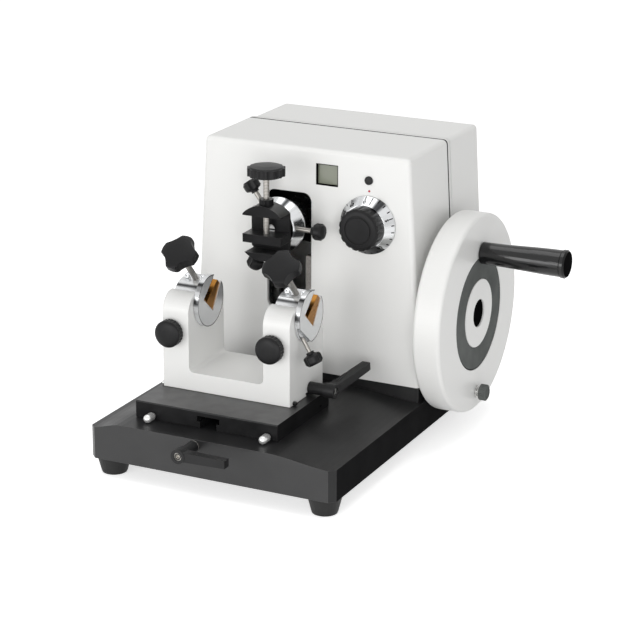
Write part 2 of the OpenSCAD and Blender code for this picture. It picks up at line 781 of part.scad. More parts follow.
// walls of the knife seat as functions of the height u above the barrel axis
seat_front = -13.9;
front_lean = 0.1;
back_lean = 0.15;
function front_wall(u) = seat_front + (u + seat_floor) * front_lean;
function back_wall(u) = seat_front + seat_w - (u + seat_floor) * back_lean;
// front face of the wedge that backs the knife
wedge_foot = 2;
wedge_top = 23;
function wedge_face(u) = seat_front + 9.7 + (u + 1.4) * 0.164;

// frame of a star screw: its z axis leaves the seat's front wall squarely
module screw_frame() {
  translate([screw_x, front_wall(screw_u), screw_u]) rotate([90 - atan(front_lean), 0, 0]) children();
}
// frame of the tilt lever's rod, behind the right clamp's disc
module tilt_frame() {
  translate([barrel_x[1] + disc_x + 1.6, barrel_y - 15, barrel_z - 15.6]) rotate([0, 150, 0]) children();
}

module knife_barrel(side, cut_disc) {
  difference() {
    union() {
      rod_x([0, 0, 0], barrel_l + 1, barrel_r);
      difference() {
        rod_x([disc_x, 0, 0], disc_t, disc_r);
        if (cut_disc) translate([disc_x + disc_t / 2, 0, 0]) rotate([knife_tilt - 39, 0, 0])
          block([0, -disc_r - 1, -disc_r - 1], [disc_t, disc_r + 1, -disc_flat]);
      }
      // pad for the star screw and the two screws beside it
      screw_frame() block([-12, -5.5, 0], [12, 5.5, pad_t]);
    }
    translate([-1, 0, 0]) along_x(0, clamp_l + 2) polygon([
      [front_wall(-seat_floor), -seat_floor], [back_wall(-seat_floor), -seat_floor],
      [back_wall(32), 32], [front_wall(32), 32]
    ]);
    screw_frame() translate([0, 0, -3]) cylinder(h = pad_t + 4, r = clamp_screw_d / 2 + fit);
  }
}

module left_clamp_barrel() place() color("#cfd1d3") seat_frame(0) knife_barrel(0, false);
module right_clamp_barrel() place() color("#cfd1d3") difference() {
  seat_frame(1) knife_barrel(1, true);
  tilt_frame() translate([0, 0, 3]) cylinder(h = 8, r = tilt_rod_r);
}

// wedge that backs the knife: a foot on the seat's floor and a tapered back
module knife_wedge(side) {
  z0 = -seat_floor;
  along_x(2, clamp_l - 3) polygon([
    [front_wall(z0) + 0.3, z0], [back_wall(z0) - fit, z0], [back_wall(wedge_top) - fit, wedge_top],
    [wedge_face(wedge_top), wedge_top], [wedge_face(z0 + wedge_foot), z0 + wedge_foot],
    [front_wall(z0) + 0.3, z0 + wedge_foot]
  ]);
}
module left_knife_wedge() place() color("#b3741f") seat_frame(0) knife_wedge(0);
module right_knife_wedge() place() color("#b3741f") seat_frame(1) knife_wedge(1);

// bar that the star screw presses on the knife
module pressure_plate(side) {
  low = 1;
  high = 21;
  along_x(2, clamp_l - 3) polygon([
    [front_wall(low) + slide_gap, low], [front_wall(low) + slide_gap + 2, low],
    [front_wall(high) + slide_gap + 2, high], [front_wall(high) + slide_gap, high]
  ]);
}
module left_pressure_plate() place() color("#77797b") seat_frame(0) pressure_plate(0);
module right_pressure_plate() place() color("#77797b") seat_frame(1) pressure_plate(1);

// four-lobed knob and its screw
module star_knob(side) {
  neck = 4;
  start = pad_t + star_reach;
  tip = fit - slide_gap;
  screw_frame() {
    translate([0, 0, tip]) cylinder(h = start - tip + 1, r = clamp_screw_d / 2);
    translate([0, 0, start - neck]) cylinder(h = neck + 1, r = 7.5);
    translate([0, 0, start]) rotate(38 + 20 * side) difference() {
      rotate_extrude() polygon(concat(
        [[0, 0], [star_d / 2 - 2, 0]],
        [for (i = [0:4]) [star_d / 2 - 2 + 2 * sin(90 * i / 4), 2 - 2 * cos(90 * i / 4)]],
        [for (i = [0:6]) [(star_d / 2) * cos(80 * i / 6), star_t - 3 + 3 * sin(90 * i / 6)]],
        [[0, star_t]]));
      for (a = [0:90:270]) rotate(a) translate([34.5, 0, -1]) cylinder(h = star_t + 2, r = 20);
    }
  }
}
module left_star_knob() place() color("#333333") seat_frame(0) star_knob(0);
module right_star_knob() place() color("#333333") seat_frame(1) star_knob(1);

// knob on a pillar's front whose screw locks the barrel
module lock_knob(side) {
  back = holder_y - 1;
  translate([pillar_x[side] + lock_x, back, lock_z]) {
    rotate([90, 0, 0]) {
      difference() {
        rotate_extrude() polygon(concat(
          [[0, 0], [lock_d / 2 - 1.5, 0], [lock_d / 2, 1.5]],
          [for (i = [0:6]) [(lock_d / 2) * cos(82 * i / 6), lock_t - 3.5 + 3.5 * sin(90 * i / 6)]],
          [[0, lock_t]]));
        for (i = [0:23]) rotate(15 * i) translate([lock_d / 2 + 1, 0, -1]) cylinder(h = lock_t - 3.5, r = 1.6, $fn = 16);
      }
    }
    rod_y([0, -1, 0], holder_d - 14, lock_screw_r);
  }
}
module left_lock_knob() place() color("#2f2f2f") lock_knob(0);
module right_lock_knob() place() color("#2f2f2f") lock_knob(1);

// short lever that turns the right clamp: a rod from behind the disc with a lobed knob
module tilt_lever() place() color("#2f2f2f") tilt_frame() {
  translate([0, 0, 3]) cylinder(h = tilt_rod, r = tilt_rod_r);
  translate([0, 0, tilt_rod]) lobed_knob(tilt_knob_d);
}

// Specimen head

ring_y = vise_y + vise_d + 1;
ball_y = ring_y + 5.5;
arm_y = ring_y + ring_t;
arm_end = joint_y - 0.6;
nut_y = arm_end - 30;
feed_r = 5;
seat_in = ball_r + slide_gap;
seat_out = 12.5;
socket_r = seat_out + 0.8;
stem_r = 5;
screw_y = vise_y + 11;
jaw_z = head_z - jaw_floor + jaw_open;
jaw_top = jaw_z + jaw_t;
collar_z = head_z + sqrt(vise_r * vise_r - 8.4 * 8.4);
sink = 2.4;

// C-shaped clamp body cut from a round bar, its back face turned to a shallow cone
module specimen_vise() place() color("#2a2a2b") {
  x = [work_x - vise_w / 2, work_x + vise_w / 2];
  back = vise_y + vise_d;
  throat = [head_z - jaw_floor, head_z + bridge_z];
  difference() {
    intersection() {
      turn_back([work_x, vise_y, head_z]) polygon([
        [0, 0], [vise_r, 0], [vise_r, vise_d - 3.8], [9, vise_d - 0.6], [9, vise_d], [0, vise_d]
      ]);
      block([x[0], vise_y - 1, head_z - vise_r - 1], [x[1], back + 1, head_z + vise_r + 1]);
    }
    block([x[0] - 1, vise_y - 1, throat[0]], [x[1] + 1, vise_y + throat_d, throat[1]]);
    // serrations of the lower jaw
    for (i = [0:7]) translate([x[0] - 1, vise_y + 1.6 + i * 2.2, throat[0]]) rotate([45, 0, 0])
      translate([0, -0.5, -0.5]) cube([vise_w + 2, 1, 1]);
    rod_z([work_x, screw_y, throat[1] - 1], vise_r, clamp_screw_d / 2 + fit);
    rod_z([work_x, screw_y, collar_z], vise_r, 7.6);
    rod_y([work_x, vise_y + throat_d - 1, head_z], 1 + sink, 5);
    rod_y([work_x, vise_y, head_z], vise_d + 2, 3 + fit);
    translate([work_x, ball_y, head_z]) sphere(r = ball_r + fit);
  }
}

// ball with its stem, drawn against the clamp body by a slotted screw
module vise_ball() place() color("#c4c6c9") {
  back = vise_y + vise_d;
  difference() {
    union() {
      translate([work_x, ball_y, head_z]) sphere(r = ball_r);
      rod_y([work_x, back, head_z], ball_y - back, stem_r);
      rod_y([work_x, vise_y + throat_d + sink - 1, head_z], back - vise_y - throat_d - sink + 2, 3);
      turn_front([work_x, vise_y + throat_d + sink, head_z])
        polygon([[0, 0], [4.4, 0], [4.4, 1.4], [3.6, 2.1], [0, 2.2]]);
    }
    block([work_x - 6, vise_y + throat_d - 1, head_z - 0.5], [work_x + 6, vise_y + throat_d + 1, head_z + 0.5]);
  }
}

// split seat ring between ball and socket, round inside and outside about the ball's centre
module ball_seat() place() color("#b08a3c") {
  half = 4;
  difference() {
    intersection() {
      translate([work_x, ball_y, head_z]) sphere(r = seat_out);
      rod_y([work_x, ball_y - half, head_z], 2 * half, seat_out + 1);
    }
    translate([work_x, ball_y, head_z]) sphere(r = seat_in);
    block([work_x - 0.8, ball_y - half - 1, head_z], [work_x + 0.8, ball_y + half + 1, head_z + seat_out + 1]);
  }
}

orient_r = 2.5;
orient_angles = [0, 125, 240];

// ring in which the ball is seated, its outside a cone that widens from the clamp to the arm
module socket_ring() place() color("#d4d6d8") {
  difference() {
    turn_back([work_x, ring_y, head_z]) polygon([
      [0, 0], [vise_w / 2 + 0.6, 0], [vise_w / 2 + 1.6, 1], [vise_r - 0.6, ring_t - 2.4],
      [vise_r, ring_t - 1.6], [vise_r, ring_t], [0, ring_t]
    ]);
    translate([work_x, ball_y, head_z]) sphere(r = socket_r);
    for (a = orient_angles) translate([work_x, ball_y, head_z]) rotate([0, -a, 0])
      rod_x([0, 0, 0], vise_r + 2, orient_r + fit);
  }
}

// radial screw with its small knob, at an angle about the head's axis
module orient_knob(a) {
  tip = seat_out + 0.35;
  base = orient_reach - 6.5;
  translate([work_x, ball_y, head_z]) rotate([0, -a, 0]) {
    rod_x([tip, 0, 0], base - tip + 1, orient_r);
    translate([base, 0, 0]) rotate([0, 90, 0]) lobed_knob(orient_knob_d);
  }
}
module orient_knob_right() place() color("#2c2c2c") orient_knob(orient_angles[0]);
module orient_knob_upper() place() color("#2c2c2c") orient_knob(orient_angles[1]);
module orient_knob_lower() place() color("#2c2c2c") orient_knob(orient_angles[2]);

module movable_jaw() place() color("#2c2c2d") {
  x = [work_x - vise_w / 2, work_x + vise_w / 2];
  difference() {
    block([x[0], vise_y, jaw_z], [x[1], vise_y + throat_d - slide_gap, jaw_top]);
    rod_z([work_x, screw_y, jaw_top - 4], 5, clamp_screw_d / 2 + fit);
    for (i = [0:7]) translate([x[0] - 1, vise_y + 1.6 + i * 2.2, jaw_z]) rotate([45, 0, 0])
      translate([0, -0.5, -0.5]) cube([vise_w + 2, 1, 1]);
  }
}

clamp_knob_z = jaw_top + clamp_screw_l;
module clamp_screw() place() color("#c9c8c2")
  rod_z([work_x, screw_y, jaw_top - 3.7], clamp_screw_l + 3.7 + 6, clamp_screw_d / 2);

module clamp_knob() place() color("#2f2f2f")
  translate([work_x, screw_y, clamp_knob_z]) difference() {
    union() {
      translate([0, 0, 1]) fluted(clamp_knob_t - 3, clamp_knob_d / 2, 14, 4.4, 1.6);
      cylinder(h = 2, r = clamp_knob_d / 2 - 3);
      translate([0, 0, clamp_knob_t - 2]) rotate_extrude() polygon([
        [0, 0], [clamp_knob_d / 2 - 1.4, 0], [clamp_knob_d / 2 - 3, 1.2], [8, 2.1], [0, 2.3]
      ]);
    }
    translate([0, 0, -1]) cylinder(h = 7.1, r = clamp_screw_d / 2 + fit);
  }

// threaded collar pressed into the bridge
module collar_nut() place() color("#262626") {
  translate([work_x, screw_y, collar_z]) difference() {
    fluted(6.6, 7.2, 6, 3, 0.7);
    translate([0, 0, -1]) cylinder(h = 9, r = clamp_screw_d / 2 + fit);
  }
}

// Carriage, arm and feed

carriage_y = [column_y - 16, column_y + 16];
carriage_z = [head_z - 30, head_z + 29];
yoke_z = shaft_z + crank_throw;
yoke_back = shaft_y + crank_throw + 18;
roller_r = 9;

module carriage() place() color("#35373a") {
  difference() {
    union() {
      block([work_x - column_span - 15, carriage_y[0], carriage_z[0]],
            [work_x + column_span + 15, carriage_y[1], carriage_z[1]]);
      // arm that carries the yoke plate past the main shaft's crank
      block([work_x + column_span + 14, carriage_y[0] + 4, carriage_z[0]], [yoke_x[1], yoke_back - 8, carriage_z[0] + 22]);
      block([yoke_x[0], shaft_y - crank_throw - 18, yoke_z - 19], [yoke_x[1], yoke_back, carriage_z[0] + 1]);
    }
    rod_y([work_x, carriage_y[0] - 1, head_z], 34, arm_r + fit);
    for (x = column_places) rod_z([x, column_y, carriage_z[0] - 1], 62, column_r + fit);
    // slot of the yoke, in which the crank's roller runs from front to back
    block([yoke_x[0] - 1, shaft_y - crank_throw, yoke_z - roller_r - 0.5],
          [yoke_x[1] + 1, shaft_y + crank_throw, yoke_z + roller_r + 0.5]);
    for (y = [shaft_y - crank_throw, shaft_y + crank_throw])
      rod_x([yoke_x[0] - 1, y, yoke_z], 13, roller_r + 0.5);
  }
}

module specimen_arm() place() color("#c7c9cc") {
  difference() {
    rod_y([work_x, arm_y, head_z], arm_end - arm_y, arm_r);
    rod_y([work_x, arm_y + 22, head_z], nut_y - arm_y - 22, 11);
    rod_y([work_x, nut_y - 1, head_z], arm_end - nut_y + 2, feed_r + fit);
  }
}

plate_back = arm_end + 20;
module feed_bracket() place() color("#3d4044") {
  difference() {
    union() {
      block([work_x - 34, plate_back, head_z - 22], [work_x + 34, plate_back + 8, head_z + 22]);
      for (x = [work_x - 34, work_x + 26])
        block([x, carriage_y[1], head_z - 9], [x + 8, plate_back + 1, head_z + 9]);
    }
    rod_y([work_x, plate_back - 1, head_z], 10, feed_r + fit);
  }
  rod_y([work_x + 28, plate_back + 7, head_z + 14], 14, 3);
}

module feed_screw() place() color("#c7c9cc") {
  rod_y([work_x, nut_y - 26, head_z], plate_back - nut_y + 58, feed_r);
  rod_y([work_x, plate_back - 6, head_z], 5.6, 9);
}

ratchet_y = plate_back + 11;
ratchet_r = 20;
module ratchet_wheel() place() color("#9b9ea1") {
  teeth = 48;
  translate([work_x, ratchet_y, head_z]) rotate([-90, 0, 0]) difference() {
    linear_extrude(8) polygon([for (i = [0:2 * teeth - 1])
      let (a = 180 * i / teeth + (i % 2 == 1 ? 2.4 : 0), r = i % 2 == 0 ? ratchet_r : ratchet_r - 1.4)
      [r * cos(a), r * sin(a)]]);
    translate([0, 0, -1]) cylinder(h = 10, r = feed_r + 0.02);
  }
}

module feed_pawl() place() color("#a4a6a8") {
  difference() {
    union() {
      rod_y([work_x + 28, ratchet_y, head_z + 14], 7, 6);
      translate([work_x + 28, ratchet_y + 7, head_z + 14]) rotate([90, 0, 0]) linear_extrude(7)
        polygon([[4, 2], [4, 22], [-1, 24], [-5, 20], [-3, 4]]);
      translate([work_x + 28, ratchet_y + 7, head_z + 14]) rotate([90, 0, 0]) linear_extrude(7)
        polygon([[-3, 4], [-11.4, -1.4], [-10.2, -4.5], [2, -5]]);
    }
    rod_y([work_x + 28, ratchet_y - 1, head_z + 14], 9, 3 + fit);
  }
}

// Handwheel

spindle_r = 6;
grip_y = shaft_y + crank_r * sin(crank_lead);
grip_z = shaft_z + crank_r * cos(crank_lead);

module main_shaft() place() color("#b9bcc0")
  rod_x([yoke_x[1] + 22, shaft_y, shaft_z], wheel_face - 3 - yoke_x[1] - 22, shaft_r);

// crank disc with its pin and roller, which stop just short of the yoke
module crank_disc() place() color("#8f9296") {
  rod_x([yoke_x[1] + 1, shaft_y, shaft_z + crank_throw], 12, roller_r);
  difference() {
    rod_x([yoke_x[1] + 12, shaft_y, shaft_z], 12, crank_throw + 12);
    rod_x([yoke_x[1] + 21, shaft_y, shaft_z], 9, shaft_r + 0.02);
  }
}

module handwheel() place() color("#f2f2f0") {
  face = wheel_t;
  soft = [for (i = [0:6]) [wheel_r - 4 + 4 * sin(15 * i), 4 - 4 * cos(15 * i)]];
  difference() {
    turn_x([wheel_x, shaft_y, shaft_z]) polygon(concat(
      [[0, 1.5], [44, 1.5], [48, 14], [70, 14], [74, 1]],
      [for (p = soft) [p[0], p[1]]],
      [for (i = [0:6]) [soft[6 - i][0], face - soft[6 - i][1]]],
      [[0, face]]));
    turn_x([wheel_x, shaft_y, shaft_z]) translate([ring_inner, face - 2]) square([ring_outer - ring_inner, 3]);
    rod_x([wheel_face - 6, shaft_y, shaft_z], 7, hub_r);
    rod_x([wheel_x, shaft_y, shaft_z], wheel_t, shaft_r + 0.02);
    rod_x([wheel_x - 1, shaft_y, shaft_z - lock_r], wheel_t + 2, 4 + fit);
  }
  // spindle of the crank grip
  rod_x([wheel_face - 0.3, grip_y, grip_z], grip_l - 12.7, spindle_r);
}

ring_groove = 0.5;
module wheel_ring() place() color("#6f7173")
  turn_x([wheel_face - 2, shaft_y, shaft_z])
    translate([ring_inner + ring_groove, 0]) square([ring_outer - ring_inner - 2 * ring_groove, 1.6]);

module hub_cap() place() color("#1a1a1a")
  turn_x([wheel_face - 3, shaft_y, shaft_z]) polygon([
    [0, 0], [hub_r - fit, 0], [hub_r - fit, 1.4], [hub_r - 1.6, 2], [hub_r - 3, 1.6], [0, 1.6]
  ]);

module crank_grip() place() color("#161616")
  difference() {
    turn_x([wheel_face + grip_gap, grip_y, grip_z]) polygon(concat(
      [[0, 0], [grip_neck_r - 0.8, 0], [grip_neck_r, 0.8]],
      [for (i = [0:8]) [grip_neck_r + (grip_r - grip_neck_r - 0.8) * ease(i / 8), 3 + (grip_l - 9) * i / 8]],
      [[grip_r - 1.2, grip_l - 5.4], [grip_r, grip_l - 4.8], [grip_r, grip_l - 1.6], [grip_r - 1.6, grip_l], [0, grip_l]]));
    rod_x([wheel_face, grip_y, grip_z], grip_l - 12, spindle_r + fit);
  }

// knob and pin that lock the wheel to the base
module wheel_lock_knob() place() color("#8b8d8f") {
  rod_x([wheel_x + 1, shaft_y, shaft_z - lock_r], wheel_t + 2, 4);
  translate([wheel_face + slide_gap, shaft_y, shaft_z - lock_r]) rotate([0, 90, 0]) {
    rotate_extrude() polygon([[0, 0], [6.6, 0], [6.6, 0.8], [6, 1.4], [4.8, 1.4], [4.8, 4.2], [0, 4.2]]);
    translate([0, 0, 4]) fluted(6.6, 8.4, 24, 1.2, 0.5);
    translate([0, 0, 10.5]) rotate_extrude() polygon([[0, 0], [7.6, 0], [6.6, 1], [5.4, 1], [5.4, 0.4], [0, 0.4]]);
  }
}

// Thickness dial and reset button

dial_face = front_y - slide_gap;

module dial_ring() place() color("#c6c8ca") {
  difference() {
    turn_front([dial_x, dial_face, dial_z]) polygon([
      [0, 0], [dial_r, 0], [dial_r, 2.4], [dial_knob_r + 1.2, dial_t], [0, dial_t]
    ]);
    rod_y([dial_x, dial_face - dial_t - 1, dial_z], dial_t + 2, 4);
  }
}

module dial_knob() place() color("#2b2b2b")
  translate([dial_x, dial_face - dial_t, dial_z]) rotate([90, 0, 0]) difference() {
    union() {
      fluted(dial_knob_t - 2, dial_knob_r, 16, 3, 0.9);
      translate([0, 0, dial_knob_t - 2]) rotate_extrude()
        polygon([[0, 0], [dial_knob_r - 0.9, 0], [dial_knob_r - 2.6, 1.6], [dial_knob_r - 6, 2], [0, 2]]);
    }
    translate([0, 0, -1]) cylinder(h = 9, r = 4);
    translate([0, 0, dial_knob_t - 1]) rotate_extrude() translate([dial_knob_r * 0.6, 0]) square([1.6, 2]);
  }

// shaft through the housing wall with the thickness cam behind it
module dial_shaft() place() color("#a9acaf") {
  cam_y = front_y + wall + 8;
  rod_y([dial_x, dial_face - dial_t - 7, dial_z], dial_t + 8, 4 - fit);
  rod_y([dial_x, dial_face, dial_z], wall + 24, dial_bush_r);
  translate([dial_x, cam_y + 6, dial_z]) rotate([90, 0, 0]) linear_extrude(6)
    polygon([for (i = [0:35]) (12 + 8 * i / 35) * [cos(10 * i + 90), sin(10 * i + 90)]]);
}

module reset_button() place() color("#181818") {
  stem = wall + 3;
  turn_front([dial_x, front_y + stem, button_z]) polygon([
    [0, 0], [button_r, 0], [button_r, stem + 1.6], [button_r - 1.2, stem + 2.6], [0, stem + 3]
  ]);
}

// coarse feed knob on the left wall, its shaft carrying a toothed belt pulley inside
module coarse_feed_knob() place() color("#2b2b2b") {
  inner = side_left(coarse_z, wall) + 14;
  rod_x([left_end + 4, shaft_y, coarse_z], inner + 8 - left_end - 4, coarse_shaft_r);
  translate([inner, shaft_y, coarse_z]) rotate([0, 90, 0]) fluted(8, 12, 18, 1.5, 0.8);
  translate([coarse_foot, shaft_y, coarse_z]) rotate([0, -90, 0]) {
    fluted(coarse_l - 2, coarse_r, 16, 3, 0.9);
    translate([0, 0, coarse_l - 2]) rotate_extrude()
      polygon([[0, 0], [coarse_r - 0.9, 0], [coarse_r - 2.6, 1.6], [coarse_r - 6, 2], [0, 2]]);
  }
}

base_plate();
rubber_feet();
plate_t_bolt();
front_clamp_shaft();
front_clamp_lever();
housing_plinth();
front_housing();
rear_cover();
lcd_window();
counter_module();
column_bridge();
guide_columns();
wear_rail();
bearing_housing();
shaft_bearings();
slide_plate();
dovetail_bar();
knife_holder();
side_clamp_shaft();
side_clamp_lever();
left_clamp_barrel();
right_clamp_barrel();
left_knife_wedge();
right_knife_wedge();
left_pressure_plate();
right_pressure_plate();
left_star_knob();
right_star_knob();
left_lock_knob();
right_lock_knob();
tilt_lever();
carriage();
feed_bracket();
specimen_arm();
socket_ring();
feed_screw();
ratchet_wheel();
feed_pawl();
ball_seat();
specimen_vise();
vise_ball();
movable_jaw();
clamp_screw();
clamp_knob();
collar_nut();
orient_knob_right();
orient_knob_upper();
orient_knob_lower();
main_shaft();
crank_disc();
handwheel();
wheel_ring();
hub_cap();
crank_grip();
wheel_lock_knob();
dial_ring();
dial_knob();
dial_shaft();
reset_button();
coarse_feed_knob();
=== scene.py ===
# %% [markdown]
# # Dressing a rotary microtome
# The machine's solids come from a CAD model: base, housing, handwheel, knife holder, specimen clamp and
# every knob. This lesson gives them their finishes, adds the small things that the solids leave out (pins,
# screw heads, the dial's marks and figures, the index dot), and sets up camera, floor and light for a
# product picture.

# %% Frame
import json
import math

import bmesh
import bpy
import numpy as np
from mathutils import Matrix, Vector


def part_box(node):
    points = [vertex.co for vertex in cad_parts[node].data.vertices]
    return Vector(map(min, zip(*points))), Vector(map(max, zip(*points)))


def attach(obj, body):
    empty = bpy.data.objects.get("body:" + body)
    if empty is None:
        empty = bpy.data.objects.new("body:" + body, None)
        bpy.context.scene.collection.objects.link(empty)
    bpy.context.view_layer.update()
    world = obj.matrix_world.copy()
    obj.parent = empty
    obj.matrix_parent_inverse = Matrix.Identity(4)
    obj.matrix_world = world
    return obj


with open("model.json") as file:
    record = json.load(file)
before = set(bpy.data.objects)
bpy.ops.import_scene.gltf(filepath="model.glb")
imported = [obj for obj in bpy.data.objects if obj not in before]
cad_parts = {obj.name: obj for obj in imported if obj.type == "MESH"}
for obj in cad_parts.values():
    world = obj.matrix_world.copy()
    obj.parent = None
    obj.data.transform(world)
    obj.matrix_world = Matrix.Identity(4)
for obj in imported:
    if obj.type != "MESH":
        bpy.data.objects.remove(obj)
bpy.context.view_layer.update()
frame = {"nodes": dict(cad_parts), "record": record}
nodes = frame["nodes"]

# %% [markdown]
# ## One ruler for everything
# Sizes are easier to read in millimetres from the base's left front corner, as a workshop drawing has
# them. One helper turns such a place into metres in the scene, so no piece has to convert anything.

# %% Ruler
base_low, base_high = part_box("base_plate")
corner = np.array([base_low.x, base_low.y, 0.0])


def at(p):
    """A place, or an array of places, in drawing millimetres becomes metres in the scene."""
    return corner + np.asarray(p, float) / 1000


print("base", [round(v * 1000, 1) for v in (base_high - base_low)], "mm")

# %% [markdown]
# ## Lines of the machine
# Finishes and small pieces follow the same few lines: the specimen arm's, the dial's, the handwheel's and
# the clamp barrels'. Inside a barrel the knife's seat leans back by 41.7 degrees. The wall behind the knife
# leans a further 1 in 10, and the star screw stands square to that wall, in the middle of its pad. Both
# results are rounded as a drawing would state them.

# %% Lines of the machine
socket_middle = np.array([117.0, 173.0, 223.5])
dial_middle = np.array([205.0, 201.0, 229.0])
wheel_middle = np.array([275.0, 274.7, 128.8])
barrel_middle = {"left": np.array([60.0, 112.0, 157.3]), "right": np.array([171.0, 112.0, 157.3])}

seat_lean, wall_slope = math.radians(41.7), 0.1
wall_lean = math.atan(wall_slope)
wall_depth, wall_height, pad_height = -13.9, 20.3, 14.3
seat_up = np.array([0.0, math.sin(seat_lean), math.cos(seat_lean)])
seat_back = np.array([0.0, math.cos(seat_lean), -math.sin(seat_lean)])
screw_out = (-math.cos(wall_lean) * seat_back + math.sin(wall_lean) * seat_up).round(5)
pad_from_barrel = ((wall_depth + wall_height * wall_slope) * seat_back + pad_height * seat_up).round(3)
print("star screws point along", screw_out, "from a pad at", pad_from_barrel, "mm off the barrel's line")

# %% [markdown]
# ## Camera
# The picture was taken with a long lens from the right and a little above, so upright edges stay nearly
# parallel. The angles and the distance below were found by fitting the base, housing and handwheel.

# %% Camera
def placed(name, data):
    """A new object for a mesh, a lamp or a lens, linked into the scene."""
    thing = bpy.data.objects.new(name, data)
    bpy.context.scene.collection.objects.link(thing)
    return thing


def aimed(thing, right, up, back, place_mm):
    """Stands a lens or lamp at a place: it looks against back, with right and up as its other two sides."""
    matrix = np.eye(4)
    matrix[:3, 0], matrix[:3, 1], matrix[:3, 2], matrix[:3, 3] = right, up, back, at(place_mm)
    thing.matrix_world = Matrix(matrix.tolist())


turn, lift, roll = math.radians(26.017), math.radians(18.367), math.radians(0.204)
distance_mm = 2226.929
aim = np.array([157.529, 190.0, 126.035])
back = np.array([math.sin(turn) * math.cos(lift), -math.cos(turn) * math.cos(lift), math.sin(lift)])
level = np.array([math.cos(turn), math.sin(turn), 0.0])
upright = np.cross(back, level)
right = math.cos(roll) * level + math.sin(roll) * upright
up = math.cos(roll) * upright - math.sin(roll) * level

lens = bpy.data.cameras.new("camera")
lens.lens = 124.32
lens.sensor_width = 36.0
lens.clip_end = 50.0
camera = placed("camera", lens)
aimed(camera, right, up, back, aim + back * distance_mm)
bpy.context.scene.camera = camera
print("camera at", [round(v, 3) for v in at(aim + back * distance_mm)])

# %% [markdown]
# ## Small shader helpers
# A finish is a small sum of nodes. These helpers write one node each, so that a formula reads from left to
# right. A value may be a plain number or another node's output.

# %% Shader helpers
def feed(tree, socket, value):
    """Links an output to a socket, or sets the socket's plain value."""
    if isinstance(value, bpy.types.NodeSocket):
        tree.links.new(value, socket)
    else:
        socket.default_value = value


def maths(tree, operation, *values):
    """One arithmetic node."""
    node = tree.nodes.new("ShaderNodeMath")
    node.operation = operation
    for socket, value in zip(node.inputs, values):
        feed(tree, socket, value)
    return node.outputs["Value"]


def vector_maths(tree, operation, first, second):
    """One vector node: a dot product gives a number, everything else a vector."""
    node = tree.nodes.new("ShaderNodeVectorMath")
    node.operation = operation
    feed(tree, node.inputs[0], first)
    feed(tree, node.inputs[1], second)
    return node.outputs["Value" if operation == "DOT_PRODUCT" else "Vector"]


def remap(tree, value, from_low, from_high, low=0.0, high=1.0, interpolation="LINEAR"):
    """Carries the span from_low..from_high over to low..high, and stays level beyond both ends."""
    node = tree.nodes.new("ShaderNodeMapRange")
    node.interpolation_type = interpolation
    ends = {"From Min": from_low, "From Max": from_high, "To Min": low, "To Max": high}
    for socket, number in ends.items():
        node.inputs[socket].default_value = number
    tree.links.new(value, node.inputs["Value"])
    return node.outputs["Result"]


def remap_noise(tree, fac, low, high, contrast=0.25):
    """Noise keeps near 0.5, so the span 0.5 - contrast .. 0.5 + contrast is what becomes low..high."""
    return remap(tree, fac, 0.5 - contrast, 0.5 + contrast, low, high)


def noise(tree, coordinates, scale, detail=4.0, stretch=(1, 1, 1)):
    """Noise with that many cells a metre; a stretch below one draws the cells out along that axis."""
    mapping = tree.nodes.new("ShaderNodeMapping")
    mapping.inputs["Scale"].default_value = stretch
    tree.links.new(coordinates, mapping.inputs["Vector"])
    texture = tree.nodes.new("ShaderNodeTexNoise")
    texture.inputs["Scale"].default_value = scale
    texture.inputs["Detail"].default_value = detail
    tree.links.new(mapping.outputs["Vector"], texture.inputs["Vector"])
    return texture.outputs["Fac"]


def blend_colour(tree, factor, first, second):
    """A mix of two colours (or colour outputs) by a factor."""
    node = tree.nodes.new("ShaderNodeMix")
    node.data_type = "RGBA"
    for socket, colour in ((node.inputs[6], first), (node.inputs[7], second)):
        feed(tree, socket, colour if isinstance(colour, bpy.types.NodeSocket) else (*colour, 1.0))
    tree.links.new(factor, node.inputs["Factor"])
    return node.outputs[2]


def surface_normal(tree):
    """The direction in which the surface looks."""
    return tree.nodes.new("ShaderNodeNewGeometry").outputs["Normal"]


print("shader helpers ready")
